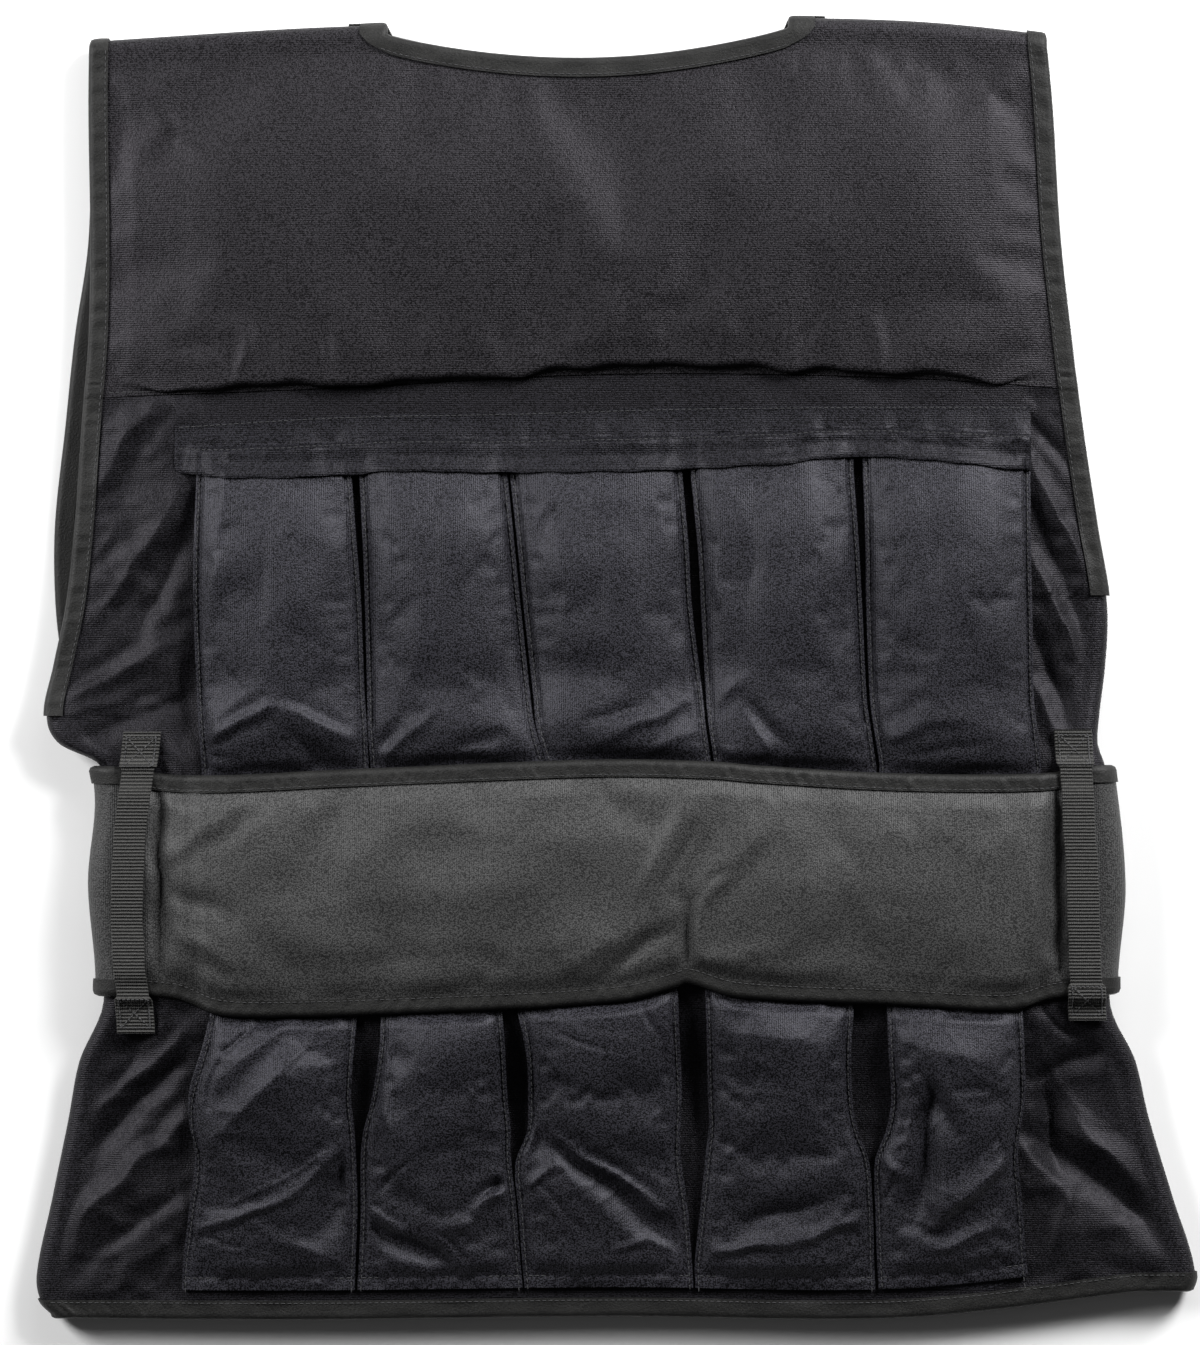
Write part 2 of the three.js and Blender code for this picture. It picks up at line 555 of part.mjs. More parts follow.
// The front, plain, with the belt's lapped ends under its waist
const frontRows = [...bodyRows.slice(0, -1), ...frontTop];
const frontEdges = frontRows.map((row, j) =>
  sideEdges(row, j <= leftUnderarm, j <= rightUnderarm, j <= leftUnderarm ? 'left' : 'frontLeft'));
const frontGrid = frontRows.map((row, j) => plainColumns(row, frontEdges[j]));
const frontFlat = frontGrid[0].map((_, i) =>
  frontRows.map((row, j) => {
    const x = frontGrid[j][i];
    const atNeck = i >= neckColumn - 1 && i <= neckColumn + neckCells + 1 && j >= frontRows.length - 2;
    const atSide = i < edgeColumns || i >= frontGrid[0].length - edgeColumns;
    const atEnd = j < edgeColumns || j >= frontRows.length - edgeColumns;
    const bottom = frontBottom(x, row, atNeck || atSide || atEnd);
    return pairAt(x, row.y(x), bottom, bottom + clothThickness);
  }),
);
const frontMiddle = (i, j) => foldCentre(frontGrid[j][i], frontRows[j], frontEdges[j], topOfBack);
const front = rolled(frontFlat, frontMiddle, -1, true);
const frontLastTop = frontRows.length - 1;
const frontHas = (i, j) =>
  sideRollHas(front.length, leftUnderarm, rightUnderarm)(i, j) &&
  (j < frontLastTop || ((i < neckFrom || i >= neckTo) && i >= rollColumns && i < front.length - 1 - rollColumns));
add('front_panel', sheet(front.length, front[0].length, upperOf(front, -1), lowerOf(front, -1), frontHas), 'nylon');

// The pockets, on the back's own lattice
const pocketSpan = {
  upper: { from: rowOf(beltHeadLine), foot: rowOf(beltHeadLip), top: rowOf(flapFoot), to: rowOf(flapRows[0]) },
  lower: { from: rowOf(pocketFoot), foot: rowOf(pocketFoot), top: rowOf(beltFootLip), to: rowOf(beltFootLine) },
};
const firstBankColumn = firstPocketColumn + rollColumns;
const pocketStart = (k) => firstBankColumn + k * (pocketCells + 1);
function pocketHeight(pocket, n, j, point) {
  const span = pocketSpan[pocket.bank];
  const underBelt = pocket.bank === 'upper' ? j <= span.foot : j >= span.top;
  if (underBelt) return tuckThickness;
  const along = (j - span.foot) / (span.top - span.foot);
  const fill = curveThrough(fillAlong, fills[pocket.bank])(along) * pocket.fullness;
  const wall = Math.min(pocketWall, pocketThickness) * Math.min(1, fill);
  const crown = (pocketThickness * fill - wall) * Math.sin((Math.PI * n) / pocketCells) ** 0.7;
  const pastFlap = along > 1 ? 0.6 : 1;
  const dented = (wall + Math.max(0, crown)) * pastFlap + foldRise('pocket', point.x, point.y);
  return Math.max(tuckThickness, dented);
}
const pocketTop = body.map(() => []);
for (const pocket of pockets) {
  const span = pocketSpan[pocket.bank];
  const start = pocketStart(pocket.seam);
  const [upper, lower] = [[], []];
  for (let n = 0; n <= pocketCells; n++) {
    const column = body[start + n];
    upper.push([]);
    lower.push([]);
    for (let j = span.from; j <= span.to; j++) {
      const base = column[j].outer.clone().addScaledVector(skyward, pieceGap);
      const top = base.clone().addScaledVector(skyward, pocketHeight(pocket, n, j, base));
      lower[n].push(base);
      upper[n].push(top);
      pocketTop[start + n][j] = top;
    }
  }
  add(pocket.name, sheet(pocketCells + 1, upper[0].length, upper, lower), 'nylon');
}

// The flap over the upper pockets' tops, sewn down along its head
const flapFrom = firstBankColumn - 1;
const flapTo = pocketStart(pocketCount - 1) + pocketCells;
const flapLower = [];
for (let i = flapFrom; i <= flapTo; i++) {
  const beside = Math.max(firstBankColumn, i);
  flapLower.push([flapFoot, flapRows[0], flapHead].map((row) => {
    const j = rowOf(row);
    const base = body[i][j].outer.clone();
    const top = pocketTop[beside][j];
    const height = top ? top.z - body[beside][j].outer.z : 0;
    const droop = i < firstBankColumn ? 0.6 : 1;
    return base.addScaledVector(skyward, height * droop + pieceGap);
  }));
}
const raised = (columns, by) => columns.map((c) => c.map((p) => p.clone().addScaledVector(skyward, by)));
add('pocket_flap', sheet(flapLower.length, flapLower[0].length, raised(flapLower, flapThickness), flapLower), 'nylon');

// The belt: from its under end at the front, round the left side, across the back, round the
// right side, and over the under end
const beltFrom = rowOf(beltFoot);
const beltRowCount = beltRows.length;
const puffed = beltRows.map((row) => (waistRows.includes(row) ? 1 : 0));
const overlapEnd = neckColumn + neckCells;
const [firstPlain, lastPlain] = [0, frontFlat.length - 1];
const beltColumns = [];
function beltFront(i, under) {
  return beltRows.map((row, r) => {
    const at = frontFlat[i][beltFrom + r].outer;
    const lapped = under ? beltLayer * overlapAt(at.x, overlapRamp) : 0;
    const inner = at.z - beltClearance - lapped;
    return pairAt(at.x, at.y, inner - beltEdge, inner);
  });
}
function beltBack(i) {
  const bodyColumn = bodyFlat[i];
  const overBank = i >= firstPocketColumn && i <= lastPocketColumn ? 1 : 0;
  const atSide = i === 0 || i === bodyFlat.length - 1;
  return beltRows.map((row, r) => {
    const at = bodyColumn[beltFrom + r].outer;
    const inner = at.z + beltClearance + tuckRoom * overBank;
    const puff = atSide ? 0 : (beltThickness - beltEdge) * puffed[r];
    const dent = atSide ? 0 : foldRise('belt', at.x, at.y);
    return pairAt(at.x, at.y, inner + Math.max(beltEdge, beltEdge + puff + dent), inner);
  });
}
function beltSide(edgeColumn, i, outward) {
  const steps = [1, 2, 3].map((k) => (k * Math.PI) / 4);
  return steps.map((angle) =>
    edgeColumn.map((pair, r) => {
      const centre = new THREE.Vector3(pair.outer.x, pair.outer.y, bodyMiddle(i, beltFrom + r));
      const inner = pair.inner.z - centre.z;
      return {
        outer: rollPoint(centre, outward, skyward, inner + beltEdge, angle),
        inner: rollPoint(centre, outward, skyward, inner, angle),
      };
    }),
  );
}
for (let i = overlapEnd; i >= firstPlain; i--) beltColumns.push(beltFront(i, true));
const [leftBack, rightBack] = [beltBack(0), beltBack(bodyFlat.length - 1)];
beltColumns.push(...beltSide(leftBack, 0, leftward).reverse(), leftBack);
for (let i = 1; i < bodyFlat.length - 1; i++) beltColumns.push(beltBack(i));
beltColumns.push(rightBack, ...beltSide(rightBack, bodyFlat.length - 1, rightward));
for (let i = lastPlain; i >= neckColumn; i--) beltColumns.push(beltFront(i, false));
numbered(beltColumns);
add('belt', sheet(beltColumns.length, beltRowCount, upperOf(beltColumns, 1), lowerOf(beltColumns, 1)), 'beltNylon');

add('belt_binding_bottom', tapeRound(beltColumns.map((c) => [c[0], c[1]])), 'tape');
add('belt_binding_top', tapeRound(beltColumns.map((c) => [c[beltRowCount - 1], c[beltRowCount - 2]])), 'tape');

// The tapes round the vest's edges
const hemStations = [
  ...body.map((c) => [c[0], c[1]]),
  ...front.map((c) => [c[0], c[1]]).reverse(),
];
add('hem_binding', tapeRound(hemStations, true), 'tape');

const armholeStart = 0.05; // how far into its first cell an armhole's tape starts
const mixPair = (a, b, t) => ({
  ...a,
  outer: a.outer.clone().lerp(b.outer, t),
  inner: a.inner.clone().lerp(b.inner, t),
});
function armholeStations(side, underarm) {
  const column = (half, k) => (side < 0 ? half[rollColumns + k] : half[half.length - 1 - rollColumns - k]);
  const station = (half, j) => [column(half, 0)[j], column(half, 1)[j]];
  const run = (half, from, to) => Array.from({ length: to - from + 1 }, (_, k) => station(half, from + k));
  const start = (half) =>
    station(half, underarm).map((pair, k) => mixPair(pair, station(half, underarm + 1)[k], armholeStart));
  return [
    start(body),
    ...run(body, underarm + 1, bodyRows.length - 1),
    ...run(yoke, 0, yoke[0].length - 1),
    ...run(front, underarm + 1, front[0].length - 1).reverse(),
    start(front),
  ];
}
add('armhole_binding_left', tapeRound(armholeStations(-1, leftUnderarm)), 'tape');
add('armhole_binding_right', tapeRound(armholeStations(1, rightUnderarm)), 'tape');

// The neck's tape follows the back's neckline, goes over the right shoulder fold, back along
// the front's neckline and over the left fold.
function neckHalf(half, top) {
  const line = [];
  for (let i = neckFrom + 1; i < neckTo; i++) line.push([half[i][top], half[i][top - 1]]);
  const end = (i, beside, outward) => [
    [half[i][top], half[beside][top], forward.clone().add(outward)],
    [half[i][top + 1], half[beside][top + 1]],
    [half[i][top + 2], half[beside][top + 2]],
  ];
  return { line, left: end(neckFrom, neckFrom - 1, rightward), right: end(neckTo, neckTo + 1, leftward) };
}
const backNeck = neckHalf(yoke, lastTop);
const frontNeck = neckHalf(front, frontLastTop);
add('neck_binding', tapeRound([
  ...backNeck.line, ...backNeck.right, ...frontNeck.right.reverse(),
  ...frontNeck.line.reverse(), ...frontNeck.left, ...backNeck.left.reverse(),
], true), 'tape');

// The belt loops lie on what is under them, found from the faces themselves.
function heightOf(meshes, x, y) {
  let highest = -Infinity;
  for (const mesh of meshes) {
    const at = mesh.geometry.getAttribute('position').array;
    for (let k = 0; k < at.length; k += 9) {
      const [ax, ay, bx, by, cx, cy] = [at[k], at[k + 1], at[k + 3], at[k + 4], at[k + 6], at[k + 7]];
      const area = (bx - ax) * (cy - ay) - (cx - ax) * (by - ay);
      if (area <= 0) continue;
      const u = ((bx - x) * (cy - y) - (cx - x) * (by - y)) / area;
      const v = ((cx - x) * (ay - y) - (ax - x) * (cy - y)) / area;
      const w = 1 - u - v;
      if (u < 0 || v < 0 || w < 0) continue;
      highest = Math.max(highest, u * at[k + 2] + v * at[k + 5] + w * at[k + 8]);
    }
  }
  return highest;
}
const loopStep = 12;
const supports = vest.children.filter((m) => /^(back_panel|belt)/.test(m.name));
for (const loop of loops) {
  const place = ([across, up]) => [across * halfWidth, (up - 0.5) * bodyLength];
  const [head, middle, foot] = [loop.head, loop.middle, loop.foot].map(place);
  const across = curveThrough([foot[1], middle[1], head[1]], [foot[0], middle[0], head[0]]);
  const steps = Math.ceil((head[1] - foot[1]) / loopStep);
  const ys = Array.from({ length: steps + 1 }, (_, k) => mix(foot[1], head[1], k / steps));
  const offsets = Array.from({ length: 13 }, (_, k) => mix(-0.5, 0.5, k / 12) * loopWidth);
  const found = ys.map((y) => Math.max(...offsets.map((dx) => heightOf(supports, across(y) + dx, y))));
  const rests = ys.map((_, k) => Math.max(...found.slice(Math.max(0, k - 1), k + 2)) + pieceGap);
  const columnAt = (dx, lift) => ys.map((y, k) => new THREE.Vector3(across(y) + dx, y, rests[k] + lift));
  const sidesAt = (lift) => [columnAt(-loopWidth / 2, lift), columnAt(loopWidth / 2, lift)];
  add(loop.name, sheet(2, ys.length, sidesAt(loopThickness), sidesAt(0)), 'webbing');
}

// The origin goes on the table under the middle of the vest.
const bounds = new THREE.Box3().setFromObject(vest);
vest.position.set(-(bounds.min.x + bounds.max.x) / 2, -(bounds.min.y + bounds.max.y) / 2, -bounds.min.z);

export default vest;
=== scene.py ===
"""A pullover weighted vest with its waist belt fastened, seen from straight above.

The vest's own measures are millimetres, with +Y from the hem to the shoulders and +Z up, as in
the part's source. to_frame moves finished points to the frame, in metres.
"""
import math
from collections import namedtuple

import bpy
import numpy as np
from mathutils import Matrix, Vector


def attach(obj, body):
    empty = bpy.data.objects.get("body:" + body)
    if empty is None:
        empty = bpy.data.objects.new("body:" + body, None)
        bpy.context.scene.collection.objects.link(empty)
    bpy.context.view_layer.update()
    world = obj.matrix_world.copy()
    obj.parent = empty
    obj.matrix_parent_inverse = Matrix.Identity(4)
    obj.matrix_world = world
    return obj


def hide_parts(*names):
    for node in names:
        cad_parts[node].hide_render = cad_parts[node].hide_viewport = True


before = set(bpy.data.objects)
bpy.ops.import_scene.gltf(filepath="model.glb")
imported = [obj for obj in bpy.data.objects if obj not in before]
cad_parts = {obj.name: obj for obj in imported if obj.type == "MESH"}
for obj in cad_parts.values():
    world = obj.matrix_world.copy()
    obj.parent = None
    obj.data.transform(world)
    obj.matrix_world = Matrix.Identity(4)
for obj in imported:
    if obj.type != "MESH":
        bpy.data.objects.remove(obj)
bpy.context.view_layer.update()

# The vest
BODY_LENGTH = 655.0
HEM_WIDTH = 584.0
HALF_WIDTH = HEM_WIDTH / 2
CLOTH = 2.4
HOLLOW = 12.0
HOLLOW_AT_EDGE = 9.0
CROWN_RAMP = 70.0
BACK_NECK_DROP = 15.0
FRONT_NECK_DROP = 90.0
NECK_WIDTH = 205.0
NECK_MIDDLE = -0.022 * HEM_WIDTH
NECK_LEFT = NECK_MIDDLE - NECK_WIDTH / 2
NECK_RIGHT = NECK_LEFT + NECK_WIDTH
FOLD_RADIUS = HOLLOW_AT_EDGE / 2 + CLOTH
FRAME_SHIFT = np.array([-2.47, 0.52, 0.0])
MM = 0.001

# Tapes and the gaps between pieces
GAP = 0.3
TAPE = 0.8
TAPE_ROOM = TAPE + GAP
TAPE_WIDTH = 7.5
TAPE_PUCKER = 0.34
BELT_TAPE_WIDTH = 7.0

# Pockets, flap, yoke and belt
POCKET_DEPTH = 21.0
POCKET_WALL = 9.0
TUCK = 3.0
FLAP = 1.6
FLAP_OVERHANG = 11.0
YOKE_PADDING = 6.0
BELT_EDGE = 3.0
BELT_PUFF = 3.5
BELT_LIP = 3.0
BELT_LAYER = BELT_EDGE + 2 * TAPE_ROOM + GAP
BELT_CLEARANCE = TAPE_ROOM + GAP
BELT_OVERLAP = 110.0
OVERLAP_RAMP = 35.0
WEBBING_WIDTH = 19.0
WEBBING = 1.6

# The side edges: how far up the body, then how far out the left, the right and the front's left
# edge are, as shares of half the hem width.
Station = namedtuple("Station", "up left right front_left")
SIDES = [
    Station(0.0, 0.957, 0.95, 0.957),
    Station(0.012, 0.984, 0.985, 0.984),
    Station(0.033, 0.992, 1.0, 0.992),
    Station(0.09, 0.966, 0.962, 0.966),
    Station(0.151, 0.938, 0.921, 0.938),
    Station(0.196, 0.918, 0.897, 0.918),
    Station(0.242, 0.874, 0.851, 0.874),
    Station(0.333, 0.885, 0.862, 0.885),
    Station(0.4225, 0.88, 0.842, 0.88),
    Station(0.44, 0.951, 0.83, 0.915),
    Station(0.461, 0.973, 0.834, 0.93),
    Station(0.5, 0.957, 0.846, 0.945),
    Station(0.546, 0.936, 0.849, 0.957),
    Station(0.607, 0.921, 0.827, 0.958),
    Station(0.683, 0.909, 0.801, 0.94),
    Station(0.751, 0.897, 0.782, 0.924),
    Station(0.827, 0.894, 0.763, 0.9),
    Station(0.926, 0.897, 0.749, 0.897),
    Station(1.0, 0.895, 0.732, 0.895),
]
LEFT_UNDERARM = (0.461 - 0.5) * BODY_LENGTH
RIGHT_UNDERARM = (0.553 - 0.5) * BODY_LENGTH

# The lines across the vest: pairs of how far across the hem width and how far up the body.
LINES = {
    "hem": [(0.05, 0.003), (0.25, 0.0025), (0.5, 0.005), (0.75, 0.004), (0.95, 0.024)],
    "belt foot": [
        (0.058, 0.251), (0.124, 0.2496), (0.164, 0.2374), (0.229, 0.2359), (0.347, 0.2397),
        (0.5056, 0.2481), (0.5535, 0.2588), (0.563, 0.2618), (0.6066, 0.2511), (0.742, 0.245),
        (0.837, 0.2412), (0.877, 0.2496), (0.932, 0.2534),
    ],
    "belt head": [
        (0.053, 0.4214), (0.134, 0.4122), (0.2744, 0.4168), (0.4884, 0.4244), (0.5826, 0.4229),
        (0.6237, 0.4198), (0.742, 0.4137), (0.8677, 0.4137), (0.9114, 0.4198),
    ],
    "flap foot": [
        (0.1203, 0.6473), (0.1888, 0.6427), (0.2727, 0.645), (0.3129, 0.6481), (0.4114, 0.6466),
        (0.5056, 0.6481), (0.5561, 0.6496), (0.6408, 0.6534), (0.7016, 0.6595), (0.7761, 0.6557),
        (0.8386, 0.6496),
    ],
    "flap head": [
        (0.1229, 0.6824), (0.2598, 0.6901), (0.4165, 0.6931), (0.5612, 0.6969), (0.8386, 0.6985),
    ],
    "yoke seam": [(0.05, 0.704), (0.25, 0.711), (0.5, 0.722), (0.75, 0.719), (0.95, 0.707)],
    "yoke lip": [
        (0.1177, 0.7099), (0.2598, 0.7153), (0.414, 0.7206), (0.4371, 0.7244), (0.5304, 0.7298),
        (0.6545, 0.7275), (0.7479, 0.7244), (0.8104, 0.7176),
    ],
    "shoulder": [(0.05, 0.978), (0.25, 0.989), (0.5, 0.995), (0.75, 0.994), (0.95, 0.975)],
}

# Where each pocket's two sides are, as shares of half the hem width from the middle, at places
# up the body.
UPPER_PLACES = (0.4237, 0.4534, 0.4756, 0.5458, 0.5863, 0.6443)
LOWER_PLACES = (0.0267, 0.0412, 0.084, 0.1221, 0.1458, 0.1679, 0.2061, 0.2412)
Pocket = namedtuple("Pocket", "name bank left right fullness")
POCKETS = [
    Pocket(
        "pocket_upper_1", "upper",
        (-0.703, -0.708, -0.711, -0.717, -0.717, -0.713),
        (-0.419, -0.422, -0.426, -0.432, -0.439, -0.449),
        0.95,
    ),
    Pocket(
        "pocket_upper_2", "upper",
        (-0.414, -0.419, -0.42, -0.424, -0.427, -0.434),
        (-0.117, -0.136, -0.143, -0.16, -0.169, -0.182),
        1.0,
    ),
    Pocket(
        "pocket_upper_3", "upper",
        (-0.112, -0.131, -0.136, -0.153, -0.162, -0.176),
        (0.167, 0.157, 0.152, 0.133, 0.128, 0.117),
        0.92,
    ),
    Pocket(
        "pocket_upper_4", "upper",
        (0.172, 0.162, 0.158, 0.15, 0.145, 0.133),
        (0.449, 0.439, 0.432, 0.424, 0.419, 0.41),
        1.0,
    ),
    Pocket(
        "pocket_upper_5", "upper",
        (0.455, 0.444, 0.438, 0.432, 0.431, 0.427),
        (0.73, 0.723, 0.718, 0.715, 0.713, 0.713),
        0.96,
    ),
    Pocket(
        "pocket_lower_1", "lower",
        (-0.739, -0.737, -0.725, -0.715, -0.725, -0.725, -0.701, -0.684),
        (-0.444, -0.443, -0.439, -0.441, -0.444, -0.449, -0.444, -0.436),
        0.95,
    ),
    Pocket(
        "pocket_lower_2", "lower",
        (-0.438, -0.436, -0.432, -0.432, -0.427, -0.414, -0.4, -0.396),
        (-0.157, -0.16, -0.167, -0.176, -0.177, -0.182, -0.186, -0.191),
        1.0,
    ),
    Pocket(
        "pocket_lower_3", "lower",
        (-0.152, -0.155, -0.162, -0.167, -0.148, -0.145, -0.148, -0.164),
        (0.136, 0.134, 0.126, 0.114, 0.114, 0.116, 0.112, 0.109),
        1.0,
    ),
    Pocket(
        "pocket_lower_4", "lower",
        (0.141, 0.14, 0.15, 0.158, 0.164, 0.162, 0.16, 0.157),
        (0.448, 0.446, 0.443, 0.436, 0.417, 0.408, 0.405, 0.41),
        1.05,
    ),
    Pocket(
        "pocket_lower_5", "lower",
        (0.455, 0.453, 0.449, 0.448, 0.467, 0.475, 0.47, 0.467),
        (0.71, 0.706, 0.699, 0.691, 0.696, 0.703, 0.701, 0.698),
        1.0,
    ),
]

# How full a pocket is along its length, from its foot to its top.
FILL_PLACES = (0, 0.15, 0.4, 0.75, 1)
FILLS = {"upper": (0.34, 0.72, 0.97, 0.97, 0.56), "lower": (0.2, 0.28, 0.5, 0.86, 0.4)}

